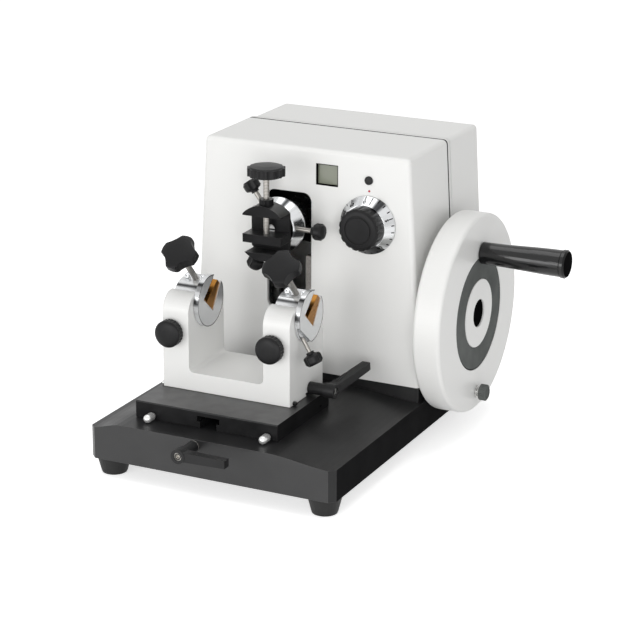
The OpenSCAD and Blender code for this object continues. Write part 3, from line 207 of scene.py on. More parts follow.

# %% [markdown]
# ## One recipe for all finishes
# A real finish is never one flat colour. Paint has a faint orange peel, cast parts a pebbled coat, ground
# steel a fine grain, and handled edges shine. One recipe makes them all: noise on the object's own
# coordinates drives roughness, colour and a shallow bump, and a bevel lookup softens the edges and
# lightens them, partly as wear of the coat and partly as a painted edge highlight. A black wall seen at a
# low angle still mirrors a white studio, so the gloss can also follow the way a wall looks: to the side, to
# the front or up.

# %% Finish recipe
def finish(name, colour, metal=0.0, rough=0.5, spread=0.06, tint=0.05, cells=60.0, grain=900.0,
           bump=0.02, stretch=(1, 1, 1), grainy=False, edge=0.0004, edge_wear_and_highlight=0.0, worn_and_highlight_colour=(0.5, 0.5, 0.5),
           coat=0.0, specular=0.5, facing=None):
    """Principled surface. Broad noise moves the colour by +-tint and the roughness by +-spread, fine noise
    makes the bump (and moves the roughness where grainy is set). Edges within the bevel radius are rounded
    and, where the edge lightening is set, lightened: partly rubbed coat, partly a painted edge highlight.
    With facing = (side, front, top) the gloss is side nx^2 + front ny^2 + top nz^2; the three squares of a
    unit normal add up to one."""
    material = bpy.data.materials.new(name)
    material.use_nodes = True
    tree = material.node_tree
    shader = tree.nodes["Principled BSDF"]
    shader.inputs["Metallic"].default_value = metal
    shader.inputs["Specular IOR Level"].default_value = specular
    if coat:
        shader.inputs["Coat Weight"].default_value = coat
        shader.inputs["Coat Roughness"].default_value = 0.08

    where = tree.nodes.new("ShaderNodeTexCoord").outputs["Object"]
    broad = noise(tree, where, cells)
    fine = noise(tree, where, grain, 3.0, stretch)
    roughness = remap_noise(tree, fine if grainy else broad, max(rough - spread, 0.02), rough + spread)
    tree.links.new(roughness, shader.inputs["Roughness"])
    dark = tuple(c * (1 - tint) for c in colour)
    light = tuple(min(c * (1 + tint), 1.0) for c in colour)
    painted = blend_colour(tree, remap_noise(tree, broad, 0.0, 1.0), dark, light)

    rounded = tree.nodes.new("ShaderNodeBevel")
    rounded.samples = 4
    rounded.inputs["Radius"].default_value = edge
    if edge_wear_and_highlight:
        # where the rounded and the true normal part, an edge is near: there the colour is lightened in
        # patches, partly as rubbed coat and partly as a painted edge highlight
        agreement = vector_maths(tree, "DOT_PRODUCT", rounded.outputs["Normal"], surface_normal(tree))
        rubbed_and_highlit = remap(tree, agreement, 0.995, 0.90, 0.0, edge_wear_and_highlight)
        patchy = maths(tree, "MULTIPLY", rubbed_and_highlit, remap_noise(tree, broad, 0.3, 1.0))
        painted = blend_colour(tree, patchy, painted, worn_and_highlight_colour)
    tree.links.new(painted, shader.inputs["Base Color"])

    relief = tree.nodes.new("ShaderNodeBump")
    relief.inputs["Strength"].default_value = bump * 10
    relief.inputs["Distance"].default_value = 0.0001
    tree.links.new(fine, relief.inputs["Height"])
    tree.links.new(rounded.outputs["Normal"], relief.inputs["Normal"])
    tree.links.new(relief.outputs["Normal"], shader.inputs["Normal"])

    if facing:
        normal = surface_normal(tree)
        gloss = vector_maths(tree, "DOT_PRODUCT", vector_maths(tree, "MULTIPLY", normal, normal), facing)
        tree.links.new(gloss, shader.inputs["Specular IOR Level"])
    material["colour"], material["metal"], material["rough"] = colour, metal, rough
    return material


print("finish recipe ready")

# %% [markdown]
# ## Paints, plastics and rubber
# The housing is smooth white enamel and the base a pebbled black one. Knobs and levers are moulded, and
# the crank grip is the only glossy black piece.

# %% Paints, plastics and rubber
white_coat = finish("white_coat", (0.80, 0.80, 0.785), rough=0.36, spread=0.04, tint=0.012, cells=9,
                    grain=700, bump=0.012, edge=0.0008, facing=(0.45, 0.45, 0.12))
# the black coats' lighter edges are partly wear and partly a painted edge highlight
base_coat = finish("base_coat", (0.016, 0.016, 0.0165), rough=0.34, spread=0.07, tint=0.2, cells=30,
                   grain=1500, bump=0.05, edge=0.0008, edge_wear_and_highlight=0.4, worn_and_highlight_colour=(0.16, 0.16, 0.16),
                   facing=(0.0, 0.5, 0.2))
lever_coat = finish("lever_coat", (0.012, 0.012, 0.0125), rough=0.45, spread=0.06, tint=0.2, cells=60,
                    grain=1600, bump=0.05, edge_wear_and_highlight=0.25, worn_and_highlight_colour=(0.10, 0.10, 0.10), specular=0.25)
foot_rubber = finish("foot_rubber", (0.018, 0.018, 0.018), rough=0.55, spread=0.06, tint=0.2, cells=80,
                     grain=1200, bump=0.04, specular=0.25)
black_knob = finish("black_knob", (0.011, 0.011, 0.0115), rough=0.38, spread=0.06, tint=0.15, cells=90,
                    grain=1700, bump=0.045, edge=0.0007, edge_wear_and_highlight=0.25, worn_and_highlight_colour=(0.05, 0.05, 0.05), specular=0.17)
gloss_black = finish("gloss_black", (0.007, 0.007, 0.0072), rough=0.13, spread=0.03, tint=0.2, cells=40,
                     grain=300, bump=0.006, facing=(0.0, 0.45, 0.45))
# flat black without gloss: the ink of the dial's print, and painted shade where parts lie deep in a hole or
# slot
flat_black_and_painted_shade = finish("flat_black_and_painted_shade", (0.004, 0.004, 0.004), rough=0.5, spread=0.05, tint=0.2, cells=90,
                    grain=1500, bump=0.03, specular=0.0)
ring_grey = finish("ring_grey", (0.135, 0.142, 0.138), rough=0.5, spread=0.07, tint=0.22, cells=32,
                   grain=2300, bump=0.05, specular=0.0)
red_paint = finish("red_paint", (0.42, 0.012, 0.03), rough=0.4, tint=0.1, cells=200, grain=2000, bump=0.01)
print(len(bpy.data.materials), "finishes so far")

# %% [markdown]
# ## Metals and the display
# Chrome mirrors the studio and ground steel blurs it. Black oxide is thin, so its edges rub bright; the
# lighter edges are also a painted edge highlight. The counter's window is a dark green-grey display behind
# a clear pane, which is the coat.

# %% Metals and display
black_oxide = finish("black_oxide", (0.011, 0.011, 0.0115), rough=0.34, spread=0.08, tint=0.25, cells=70,
                     grain=1400, bump=0.03, edge_wear_and_highlight=0.4, worn_and_highlight_colour=(0.12, 0.12, 0.12), facing=(0.02, 0.10, 0.75))
satin_chrome = finish("satin_chrome", (0.74, 0.75, 0.76), metal=1.0, rough=0.18, spread=0.05, tint=0.03,
                      cells=50, grain=900, bump=0.01)
soft_chrome = finish("soft_chrome", (0.76, 0.77, 0.78), metal=0.6, rough=0.2, spread=0.05, tint=0.03,
                     cells=50, grain=900, bump=0.01)
ground_steel = finish("ground_steel", (0.56, 0.56, 0.55), metal=1.0, rough=0.27, spread=0.07, tint=0.05,
                      cells=90, grain=1300, bump=0.02)
dull_steel = finish("dull_steel", (0.40, 0.385, 0.36), metal=0.9, rough=0.34, spread=0.08, tint=0.12,
                    cells=160, grain=1500, bump=0.03)
# a plain white without metal for the small slotted head: painted reflection that keeps the head bright
white_head_painted_reflection = finish("white_head_painted_reflection", (0.90, 0.90, 0.89), metal=0.0, rough=0.4, spread=0.05, tint=0.04,
                    cells=160, grain=1500, bump=0.02)
bright_pin = finish("bright_pin", (0.82, 0.82, 0.81), metal=0.65, rough=0.26, spread=0.05, tint=0.04,
                    cells=160, grain=1500, bump=0.02)
dark_iron = finish("dark_iron", (0.02, 0.02, 0.022), metal=0.3, rough=0.45, spread=0.1, tint=0.2,
                   cells=60, grain=900, bump=0.04)
rail_grey = finish("rail_grey", (0.19, 0.18, 0.17), metal=0.6, rough=0.5, spread=0.12, tint=0.34,
                   cells=700, grain=2600, bump=0.12, grainy=True, specular=0.3)
wedge_brass = finish("wedge_brass", (0.36, 0.165, 0.035), metal=1.0, rough=0.30, spread=0.06, tint=0.10,
                     cells=120, grain=1500, bump=0.02, stretch=(0.08, 1, 1))
display = finish("display", (0.235, 0.25, 0.195), rough=0.16, spread=0.02, tint=0.04, cells=25, grain=400,
                 bump=0.002, coat=0.4)
print(len(bpy.data.materials), "finishes")

# %% [markdown]
# ## Marks that follow a line
# At rest an object's own coordinates are the scene's, so a mark can be worked out from the drawing. The
# distance s along a line splits a knob from its steel screw, and draws the painted shade of a thread's
# grooves or of a screwdriver slot. Two such distances square to an axis give the radius, which draws thin
# circles.

# %% Marks that follow a line
def along_line(tree, point, line):
    """The distance of a surface point along a line, in metres: (p - start) . direction."""
    where = next(n for n in tree.nodes if n.type == "TEX_COORD").outputs["Object"]
    direction = np.asarray(line, float) / np.linalg.norm(line)
    return vector_maths(tree, "DOT_PRODUCT", vector_maths(tree, "SUBTRACT", where, tuple(at(point))),
                        tuple(direction))


def radius_about(tree, u, v):
    """The distance from an axis, from two distances square to it: sqrt(u^2 + v^2)."""
    squares = maths(tree, "ADD", maths(tree, "POWER", u, 2.0), maths(tree, "POWER", v, 2.0))
    return maths(tree, "SQRT", squares)


def variant(base, name):
    """A copy of a finish under its own name, with its node tree and its shader at hand."""
    material = base.copy()
    material.name = name
    return material, material.node_tree, material.node_tree.nodes["Principled BSDF"]


def darken(tree, factor, dark):
    """Blends the colour that the shader has so far to a dark one."""
    colour = tree.nodes["Principled BSDF"].inputs["Base Color"]
    tree.links.new(blend_colour(tree, factor, colour.links[0].from_socket, dark), colour)


def threaded(name, base, point, line, pitch_mm, depth=0.65):
    """Painted shade of a thread's grooves, as fine dark lines across a screw: the dark share is depth *
    (0.5 + 0.5 sin(2 pi s / pitch)).
    """
    material, tree, _ = variant(base, name)
    turns = maths(tree, "MULTIPLY", along_line(tree, point, line), math.tau * 1000 / pitch_mm)
    wave = maths(tree, "SINE", turns)
    darken(tree, maths(tree, "MULTIPLY_ADD", wave, depth / 2, depth / 2), (0.05, 0.042, 0.035))
    return material


def ringed(name, base, centre, first, second, radii_mm, half_mm):
    """Thin dark circles about an axis, where the radius is within half_mm of one of the given ones."""
    material, tree, _ = variant(base, name)
    radius = radius_about(tree, along_line(tree, centre, first), along_line(tree, centre, second))
    total = 0.0
    for r in radii_mm:
        total = maths(tree, "ADD", total, maths(tree, "COMPARE", radius, r / 1000, half_mm / 1000))
    darken(tree, maths(tree, "MINIMUM", total, 1.0), (0.01, 0.01, 0.01))
    return material


def slotted(name, base, point, line, half_mm):
    """Painted shade of a screwdriver slot: one dark line across the head, where |s| is within half_mm."""
    material, tree, _ = variant(base, name)
    inside = maths(tree, "COMPARE", along_line(tree, point, line), 0.0, half_mm / 1000)
    darken(tree, inside, (0.01, 0.01, 0.01))
    return material


def split(name, point, line, limit_mm, first, second):
    """Two finishes on one solid: the first one up to the limit along a line, the second one beyond it."""
    material, tree, shader = variant(first, name)
    beyond = maths(tree, "GREATER_THAN", along_line(tree, point, line), limit_mm / 1000)
    darken(tree, beyond, tuple(second["colour"]))
    gloss = second.node_tree.nodes["Principled BSDF"].inputs["Specular IOR Level"].default_value
    wanted = {"Metallic": second["metal"], "Roughness": second["rough"], "Specular IOR Level": gloss}
    for key, value in wanted.items():
        socket = shader.inputs[key]
        mix = tree.nodes.new("ShaderNodeMix")
        tree.links.new(beyond, mix.inputs["Factor"])
        feed(tree, mix.inputs[2], socket.links[0].from_socket if socket.is_linked else socket.default_value)
        feed(tree, mix.inputs[3], value)
        tree.links.new(mix.outputs[0], socket)
    return material


print("line marks ready")

# %% [markdown]
# ## Painting the CAD solids
# Each solid keeps its shape, and its own material slot gets the finish that its slot name asks for.

# %% Paint
coats = {
    "white_paint": white_coat, "black_paint": base_coat, "black_metal": black_oxide,
    "black_lever": lever_coat, "foot_rubber": foot_rubber, "dark_steel": dark_iron,
    "bright_steel": ground_steel, "satin_chrome": satin_chrome, "wedge_brass": wedge_brass,
    "black_plastic": black_knob, "gloss_black": gloss_black, "grey_metal": ring_grey,
    "window_glass": display,
}
slot_of = {s["node"]: s["material_slot"] for s in frame["record"]["subparts"]}
for name, piece in nodes.items():
    piece.data.materials.clear()
    piece.data.materials.append(coats[slot_of[name]])
    piece.data.polygons.foreach_set("use_smooth", np.zeros(len(piece.data.polygons), bool))


def give(material, *names):
    """Puts a finish of its own into the one slot of each named solid."""
    for name in names:
        nodes[name].data.materials[0] = material


print({coat: sum(1 for slot in slot_of.values() if slot == coat) for coat in coats})

# %% [markdown]
# ## Knobs on steel screws
# A knob and its screw are one solid here. Steel runs up to a distance along the screw's own line, and
# plastic follows. The three orientation screws point at the ball from 0, 125 and 240 degrees.

# %% Knobs on steel screws
screw_lines = {  # node: a point on the screw's line, its direction, where the steel ends, the pitch
    "left_star_knob": (barrel_middle["left"] + pad_from_barrel, screw_out, 40.0, 1.6),
    "right_star_knob": (barrel_middle["right"] + pad_from_barrel, screw_out, 40.0, 1.6),
    "tilt_lever": ((182.9, 97.0, 141.7), (0.5, 0.0, -0.866), 18.0, 1.25),
}
for name, degrees in {"orient_knob_right": 0, "orient_knob_upper": 125, "orient_knob_lower": 240}.items():
    a = math.radians(degrees)
    screw_lines[name] = (socket_middle, (math.cos(a), 0.0, math.sin(a)), 39.5, 1.25)
for name, (point, line, limit, pitch) in screw_lines.items():
    rod = threaded(name + "_rod", dull_steel, point, line, pitch)
    give(split(name + "_finish", point, line, limit, rod, black_knob), name)

sideways, upwards = (1, 0, 0), (0, 0, 1)
give(threaded("clamp_screw_thread_shade", dull_steel, (117, 110, 200), upwards, 1.5), "clamp_screw")
give(split("lock_knob_finish", (294.0, 274.7, 48), sideways, 5.8, ground_steel, ring_grey),
     "wheel_lock_knob")
give(slotted("head_with_slot_shade", white_head_painted_reflection, (117, 100, 223.5), upwards, 0.7), "vise_ball")
give(ringed("shaft_end", dull_steel, (117, 0, 50), sideways, upwards, [2.75], 0.5), "front_clamp_shaft")
print(len(screw_lines), "knobs on steel screws")

# %% [markdown]
# ## Mirror wedges
# A polished ring mirrors its surroundings as bright and dark wedges that run to its middle. In a plain
# white studio there is nothing dark to mirror, so the dark wedges are painted reflection: noise on a
# circle, which depends on the angle alone, and named dark wedges where the surroundings would be dark.

# %% Mirror wedges
def polished(name, base, centre, first, second, wedges, reflection_streaks, scale, rim_mm=None):
    """Painted reflection as wedges about an axis. The angle is atan2(u, v), from the distances along first
    and second. A wedge (middle, half width, softness in degrees) darkens where |angle - middle| is below
    the half width. With rim_mm the flat ends stay plain, and carry the painted dark reflection only beyond
    that radius."""
    material, tree, _ = variant(base, name)
    u, v = along_line(tree, centre, first), along_line(tree, centre, second)
    angle = maths(tree, "ARCTAN2", u, v)
    circle = tree.nodes.new("ShaderNodeCombineXYZ")
    tree.links.new(maths(tree, "SINE", angle), circle.inputs["X"])
    tree.links.new(maths(tree, "COSINE", angle), circle.inputs["Y"])
    fac = noise(tree, circle.outputs["Vector"], scale, 3.0)
    total = remap_noise(tree, fac, reflection_streaks, -0.35 * reflection_streaks, 0.2)
    for middle, half, soft in wedges:
        # the cosine of the angle to the wedge's middle has no jump at half a turn
        near = maths(tree, "COSINE", maths(tree, "SUBTRACT", angle, math.radians(middle)))
        outer, inner = math.radians(half + soft), math.radians(max(half - soft, 0.0))
        total = maths(tree, "MAXIMUM", total, remap(tree, near, math.cos(outer), math.cos(inner)))
    total = maths(tree, "MINIMUM", maths(tree, "MAXIMUM", total, 0.0), 1.0)
    if rim_mm:
        across = vector_maths(tree, "DOT_PRODUCT", surface_normal(tree), tuple(np.cross(first, second)))
        flat = maths(tree, "GREATER_THAN", maths(tree, "ABSOLUTE", across), 0.8)
        rim = maths(tree, "GREATER_THAN", radius_about(tree, u, v), rim_mm / 1000)
        total = maths(tree, "ADD", maths(tree, "MULTIPLY", total, maths(tree, "SUBTRACT", 1.0, flat)),
                      maths(tree, "MULTIPLY", rim, flat))
    # painted reflection: the wedges and streaks darken the chrome's colour
    darken(tree, total, (0.035, 0.036, 0.038))
    return material


# for the dial and the socket the angle runs clockwise from the top, seen from the front
give(polished("dial_chrome_painted_reflection", satin_chrome, dial_middle, sideways, upwards,
              [(31, 9, 4), (168, 28, 3), (286, 12, 10)], 0.25, 2.4), "dial_ring")
give(polished("socket_chrome_painted_reflection", satin_chrome, socket_middle, sideways, upwards,
              [(102, 9, 3), (150, 14, 5), (20, 5, 4)], 0.3, 2.6), "socket_ring")
flange_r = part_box("left_clamp_barrel")[1].z * 1000 - barrel_middle["left"][2]
for side, middle in barrel_middle.items():
    give(polished(side + "_barrel_chrome_painted_reflection", soft_chrome, middle, (0, -1, 0), upwards,
                  [(38, 4, 4), (80, 7, 4)], 0.32, 2.2, rim_mm=flange_r - 0.8), side + "_clamp_barrel")
print("clamp flange radius", round(flange_r, 2), "mm")

# %% [markdown]
# ## Housing joint and the remaining solids
# The two housing halves meet with a dark gasket between, painted as a narrow band of depth. Behind it the
# rear shell carries a soft raised lip, a bump that falls away. The wheel's grey ring has dark outlines, and
# what lies deep in the housing's slot gets a flat black without gloss, which is painted shade.

# %% Housing joint and remaining solids
def dark_joint(name, base, y_low, y_high, lip_mm=(2.8, 6.0)):
    """A dark band between two depths, and a raised lip behind it that falls away over the lip's span."""
    material, tree, shader = variant(base, name)
    depth = along_line(tree, (0, 0, 0), (0, 1, 0))
    inside = maths(tree, "MULTIPLY", maths(tree, "GREATER_THAN", depth, y_low / 1000),
                   maths(tree, "LESS_THAN", depth, y_high / 1000))
    darken(tree, inside, (0.012, 0.012, 0.013))
    lip_low, lip_high = ((y_high + reach) / 1000 for reach in lip_mm)
    relief = tree.nodes.new("ShaderNodeBump")
    relief.inputs["Distance"].default_value = 0.0014
    tree.links.new(remap(tree, depth, lip_low, lip_high, 1.0, 0.0, "SMOOTHSTEP"), relief.inputs["Height"])
    tree.links.new(shader.inputs["Normal"].links[0].from_socket, relief.inputs["Normal"])
    tree.links.new(relief.outputs["Normal"], shader.inputs["Normal"])
    return material


give(dark_joint("white_coat_joint", white_coat, 291.9, 294.7), "front_housing", "rear_cover")
ring_low, ring_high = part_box("wheel_ring")
ring_r = (ring_high.z - ring_low.z) * 500
give(ringed("ring_grey_edged", ring_grey, wheel_middle, (0, 1, 0), upwards, [ring_r, ring_r * 0.6], 0.7),
     "wheel_ring")
give(rail_grey, "wear_rail")
# painted shade: the hub's hole and the parts deep in the housing's slot get a flat black without gloss
give(flat_black_and_painted_shade, "hub_cap", "carriage", "feed_bracket")
give(foot_rubber, "reset_button")
print("grey ring radius", round(ring_r, 2), "mm")

# %% [markdown]
# ## A lathe for small pieces
# Screw heads, pins and studs are all turned, so one function makes them here: a profile of radius against
# height is carried round an axis. Every point comes from one array product, and the two ends are closed by
# letting the radius fall to zero.

# %% Lathe
def axes_of(line):
    """A unit direction and two more, square to it and to each other."""
    line = np.asarray(line, float) / np.linalg.norm(line)
    side = np.cross(line, (0.0, 0.0, 1.0) if abs(line[2]) < 0.9 else (1.0, 0.0, 0.0))
    side /= np.linalg.norm(side)
    return line, side, np.cross(line, side)


def new_piece(name, points_mm, faces):
    """An object from points in drawing millimetres and faces."""
    mesh = bpy.data.meshes.new(name)
    mesh.from_pydata(at(points_mm).tolist(), [], faces)
    return placed(name, mesh)


def close_up(mesh, sharp=32.0):
    """Merges points that fall together, turns all faces outward and marks edges sharper than an angle."""
    work = bmesh.new()
    work.from_mesh(mesh)
    bmesh.ops.remove_doubles(work, verts=work.verts, dist=1e-6)
    bmesh.ops.recalc_face_normals(work, faces=work.faces)
    work.to_mesh(mesh)
    work.free()
    mesh.polygons.foreach_set("use_smooth", np.ones(len(mesh.polygons), bool))
    mesh.set_sharp_from_angle(angle=math.radians(sharp))


def mesh_from_grid(name, points):
    """A mesh from a grid of points (rows x columns x 3, drawing mm). Rows are joined in order, columns
    close on themselves, and points that fall together, as at a pole, are merged."""
    index = np.arange(points.shape[0] * points.shape[1]).reshape(points.shape[:2])
    beside = np.roll(index, -1, axis=1)
    quads = np.stack([index[:-1], beside[:-1], beside[1:], index[1:]], -1).reshape(-1, 4)
    piece = new_piece(name, points.reshape(-1, 3), quads.tolist())
    close_up(piece.data)
    return piece


def turned(name, profile, start, line, around=40):
    """Surface of revolution: point = start + height * line + radius * (cos t * side + sin t * other)."""
    line, side, other = axes_of(line)
    radius, height = np.asarray(profile, float).T
    t = np.linspace(0, 2 * math.pi, around, endpoint=False)
    ring = np.cos(t)[:, None] * side + np.sin(t)[:, None] * other
    points = np.asarray(start, float) + height[:, None, None] * line + radius[:, None, None] * ring[None]
    return mesh_from_grid(name, points)


def dress(piece, coat, body):
    """Gives a new piece its finish and its body."""
    piece.data.materials.append(coat)
    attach(piece, body)
    return piece


def dome(radius, height, rim, steps):
    """Profile of a domed head: a short upright rim, then a quarter of an ellipse to the crown."""
    t = np.linspace(0, math.pi / 2, steps)
    crown = np.stack([radius * np.cos(t), rim + (height - rim) * np.sin(t)], 1)
    crown[-1, 0] = 0.0
    return np.vstack([[(0, 0), (radius, 0)], crown])


print("lathe ready")

# %% [markdown]
# ## Pins on the slide plate and studs on the knife holder
# Two bright round-ended pins stand out of the slide plate's front face, and a small stud stands out of each
# foot of the knife holder. They are tiny, but without them the black plate looks bare. The studs ride with
# the holder, so they never meet it when it slides sideways.

# %% Pins and studs
pin_r, pin_length = 4.2, 13.8
quarter = np.linspace(0, math.pi / 2, 9)[:-1]
nose = [(pin_r * math.cos(t), pin_length - pin_r + pin_r * math.sin(t)) for t in quarter]
round_end = [(0, 0), (3.2, 0), (3.2, 2.2), (4.0, 2.2), (pin_r, 2.5)] + nose + [(0, pin_length)]
for side, x in {"left": 55.4, "right": 181.4}.items():
    pin = turned(f"front_pin_{side}", round_end, (x, 28.6, 60.6), (0, -1, 0))
    dress(pin, bright_pin, "plate")

stud = [(0, 0), (2.1, 0), (2.1, 2.6), (1.5, 3.4), (0, 3.5)]
dress(turned("side_stud_left", stud, (41.0, 79.8, 76.0), (-1, 0, 0), 24), ground_steel, "holder")
dress(turned("side_stud_right", stud, (181.0, 84.0, 76.0), (1, 0, 0), 24), black_oxide, "holder")
print("2 pins and 2 studs placed")

# %% [markdown]
# ## Guide screws beside the star screws
# Each knife clamp's pad carries two small bright socket screws, one on each side of the long star screw and
# standing the same way.

# %% Guide screws
guide_offset, pad_thickness = 8.7, 3.9
socket_head = [(0, 0), (2.9, 0), (2.9, 3.6), (2.5, 4.0), (1.5, 4.0), (1.5, 2.2), (0, 2.2)]
for side, middle in barrel_middle.items():
    pad_face = middle + pad_from_barrel + screw_out * pad_thickness
    for i, offset in enumerate((-guide_offset, guide_offset)):
        screw = turned(f"guide_screw_{side}_{i + 1}", socket_head, pad_face + (offset, 0, 0), screw_out, 28)
        dress(screw, satin_chrome, f"{side}_clamp")
print("4 guide screws, the last at", pad_face.round(1))

# %% [markdown]
# ## Index dot, window liner and rear screws
# The dial is read against a small red dot on the housing. The window has a thin black liner, whose dark
# edge shows at the left and below in the picture; its flat black without gloss also stands in for the shade
# in the recess, as painted shade. Six screws hold the rear cover.

# %% Housing trim
dress(turned("index_dot", dome(1.15, 0.45, 0.2, 5), (205.4, 201.35, 263.2), (0, -1, 0), 24),
      red_paint, "frame")


def liner(name, low, high, y_front, y_back, thick):
    """A rectangular tube: four corner columns of an outer and an inner rectangle, joined front and back."""
    def ring(inset, y):
        x0, x1, z0, z1 = low[0] + inset, high[0] - inset, low[1] + inset, high[1] - inset
        return [(x0, y, z0), (x1, y, z0), (x1, y, z1), (x0, y, z1)]
    rings = [ring(0, y_front), ring(thick, y_front), ring(thick, y_back), ring(0, y_back), ring(0, y_front)]
    return mesh_from_grid(name, np.array(rings, float))


dress(liner("window_liner", (147.03, 263.13), (171.27, 284.97), 201.5, 205.2, 0.7), flat_black_and_painted_shade, "frame")
screw_places = [(x, 376.9, z) for x in (30.0, 239.0) for z in (80.0, 180.0, 280.0)]
for i, place in enumerate(screw_places):
    dress(turned(f"cover_screw_{i + 1}", dome(3.4, 2.4, 1.4, 6), place, (0, 1, 0), 28),
          ground_steel, "frame")
print("index dot, liner and", len(screw_places), "cover screws placed")

# %% [markdown]
# ## Graduations of the dial
# The chrome ring is a cone, so its marks must lie on a cone. Each flat mark or figure is first drawn on
# a strip (along the rim, up the slope), then every point is wrapped: the distance along the strip becomes
# an angle, and the distance up the slope moves between the cone's two radii. The scale has single steps up
# to ten, then twos, then fives, and the numbered marks are the longer ones.

# %% Dial marks
cone_low, cone_high = np.array([29.6, 2.4]), np.array([22.5, 11.0])   # radius and height over the housing
slope = cone_high - cone_low
slope_length = float(np.linalg.norm(slope))
outward = np.array([slope[1], -slope[0]]) / slope_length


def wrap_on_cone(angle, climb, lift_mm):
    """From angle (clockwise from the top, seen from the front) and climb up the slope to drawing places."""
    profile = cone_low + np.asarray(climb)[:, None] / slope_length * slope + lift_mm * outward
    radius, depth = profile[:, 0], profile[:, 1]
    return dial_middle + np.stack([radius * np.sin(angle), -depth, radius * np.cos(angle)], 1)


def join_marks(name, parts):
    """One mesh from several (points, faces) parts."""
    points, faces, count = [], [], 0
    for part_points, part_faces in parts:
        points.append(part_points)
        faces += [[i + count for i in face] for face in part_faces]
        count += len(part_points)
    return new_piece(name, np.vstack(points), faces)


def slab(angle, low, high, half_width=0.5, mark_r=27.0, thick=0.07):
    """A thin raised mark on the cone: its four corners on the slope and the same four just above it."""
    half = half_width / mark_r
    a = angle + np.array([-half, half, half, -half])
    c = np.array([low, low, high, high])
    points = np.vstack([wrap_on_cone(a, c, 0.0), wrap_on_cone(a, c, thick)])
    faces = [(0, 1, 2, 3), (7, 6, 5, 4), (0, 4, 5, 1), (1, 5, 6, 2), (2, 6, 7, 3), (3, 7, 4, 0)]
    return points, faces


scale = list(range(11)) + list(range(12, 21, 2)) + list(range(25, 61, 5))
numbered = {0, 1, 5, 10, 20, 30, 40, 50, 60}
mark_angle = np.radians(-2.0 + 14.2 * np.arange(len(scale)))
ticks = [slab(angle, 0.3, 4.8 if value in numbered else 3.6) for value, angle in zip(scale, mark_angle)]
marks = join_marks("dial_marks", ticks)
close_up(marks.data, 20)
dress(marks, flat_black_and_painted_shade, "dial")
print(len(scale), "marks over", round(math.degrees(mark_angle[-1] - mark_angle[0]), 1), "degrees")

# %% [markdown]
# ## Figures of the dial
# Text is turned into flat mesh first, then wrapped like the marks. The figures' heads point to the rim, so
# the climb falls as the text's own height grows, and a thin Solidify gives them a body of print.

# %% Dial figures
def figure_mesh(text, height_mm):
    """A text as flat points (mm, centred) and faces."""
    curve = bpy.data.curves.new("figure", "FONT")
    curve.body, curve.size = text, height_mm * 1.4
    curve.align_x = "CENTER"
    curve.offset = height_mm * 0.06
    curve.resolution_u = 3
    holder = placed("figure", curve)
    flat = holder.to_mesh()
    points = np.array([v.co for v in flat.vertices], float)
    faces = [list(p.vertices) for p in flat.polygons]
    holder.to_mesh_clear()
    bpy.data.objects.remove(holder)
    bpy.data.curves.remove(curve)
    return points, faces


figure_height, figure_foot, figure_r = 3.7, 8.9, 25.0
figures = []
for value, middle in zip(scale, mark_angle):
    if value in numbered:
        points, faces = figure_mesh(str(value), figure_height)
        wrapped = wrap_on_cone(middle + points[:, 0] / figure_r, figure_foot - points[:, 1], 0.08)
        figures.append((wrapped, faces))
numbers = join_marks("dial_numbers", figures)
numbers.modifiers.new("thickness", "SOLIDIFY").thickness = 0.00006
dress(numbers, flat_black_and_painted_shade, "dial")
print(len(figures), "figures,", len(numbers.data.polygons), "faces")

# %% [markdown]
# ## Floor and backdrop
# White products are shot on white. The floor and the world show plain white to the lens and to mirrors, and
# a lower level lights the machine, so that the paint keeps its greys. The floor adds its glow to its own
# shading, so the machine's shadow stays.

# %% Floor and backdrop
def seen_directly(tree):
    """One for a ray from the lens, or from a mirror-like or clear surface, and zero for a light bounce."""
    path = tree.nodes.new("ShaderNodeLightPath")
    total = path.outputs["Is Camera Ray"]
    for name in ("Is Glossy Ray", "Is Transmission Ray"):
        total = maths(tree, "ADD", total, path.outputs[name])
        total.node.use_clamp = True
    return total


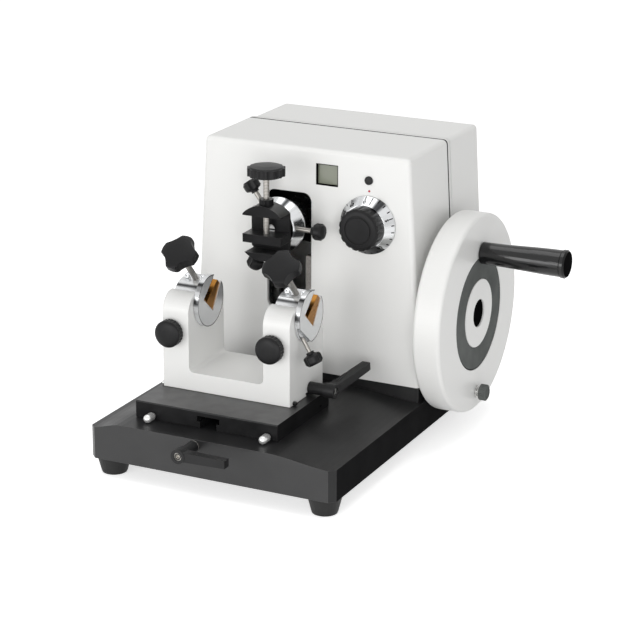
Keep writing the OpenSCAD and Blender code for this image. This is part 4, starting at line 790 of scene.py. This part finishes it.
half_floor = 3.0
floor_mesh = bpy.data.meshes.new("floor")
floor_mesh.from_pydata([(-half_floor, -half_floor, 0), (half_floor, -half_floor, 0),
                        (half_floor, half_floor, 0), (-half_floor, half_floor, 0)], [], [(0, 1, 2, 3)])
floor = placed("floor", floor_mesh)
floor_paint = bpy.data.materials.new("floor")
floor_paint.use_nodes = True
tree = floor_paint.node_tree
shader = tree.nodes["Principled BSDF"]
shader.inputs["Base Color"].default_value = (0.92, 0.92, 0.92, 1)
shader.inputs["Roughness"].default_value = 0.9
shader.inputs["Specular IOR Level"].default_value = 0.0
shader.inputs["Emission Color"].default_value = (1, 1, 1, 1)
tree.links.new(maths(tree, "MULTIPLY", seen_directly(tree), 0.62), shader.inputs["Emission Strength"])
floor_mesh.materials.append(floor_paint)

world = bpy.data.worlds.new("world")
bpy.context.scene.world = world
world.use_nodes = True
tree = world.node_tree
sky = tree.nodes["Background"]
sky.inputs["Color"].default_value = (1, 1, 1, 1)
tree.links.new(remap(tree, seen_directly(tree), 0.0, 1.0, 0.50, 1.0), sky.inputs["Strength"])
print("floor", 2 * half_floor, "m wide")

# %% [markdown]
# ## Lamps
# Three large soft boxes: one on each side of the lens, low enough to reach under the clamps, and one
# overhead. They are dim and broad, so no part of the machine throws a hard shadow on another.

# %% Lamps
def softbox(name, place_mm, look_mm, size_mm, watts):
    """A rectangular area lamp at one place that faces another."""
    lamp = bpy.data.lights.new(name, "AREA")
    lamp.shape = "RECTANGLE"
    lamp.size, lamp.size_y = size_mm[0] / 1000, size_mm[1] / 1000
    lamp.energy = watts
    away = np.subtract(place_mm, look_mm).astype(float)
    away /= np.linalg.norm(away)
    across = np.cross((0, 0, 1), away)
    across /= np.linalg.norm(across)
    holder = placed(name, lamp)
    aimed(holder, across, np.cross(away, across), away, place_mm)
    return holder


lamps = [
    softbox("left_box", (-450, -1750, 330), (120, 100, 110), (1300, 900), 14),
    softbox("right_box", (1050, -1550, 330), (180, 100, 110), (1100, 900), 13),
    softbox("top_box", (150, 300, 1700), (150, 250, 200), (1500, 1100), 8),
]
bpy.context.scene.view_settings.view_transform = "Standard"
print(len(lamps), "soft boxes,", sum(lamp.data.energy for lamp in lamps), "W in all")
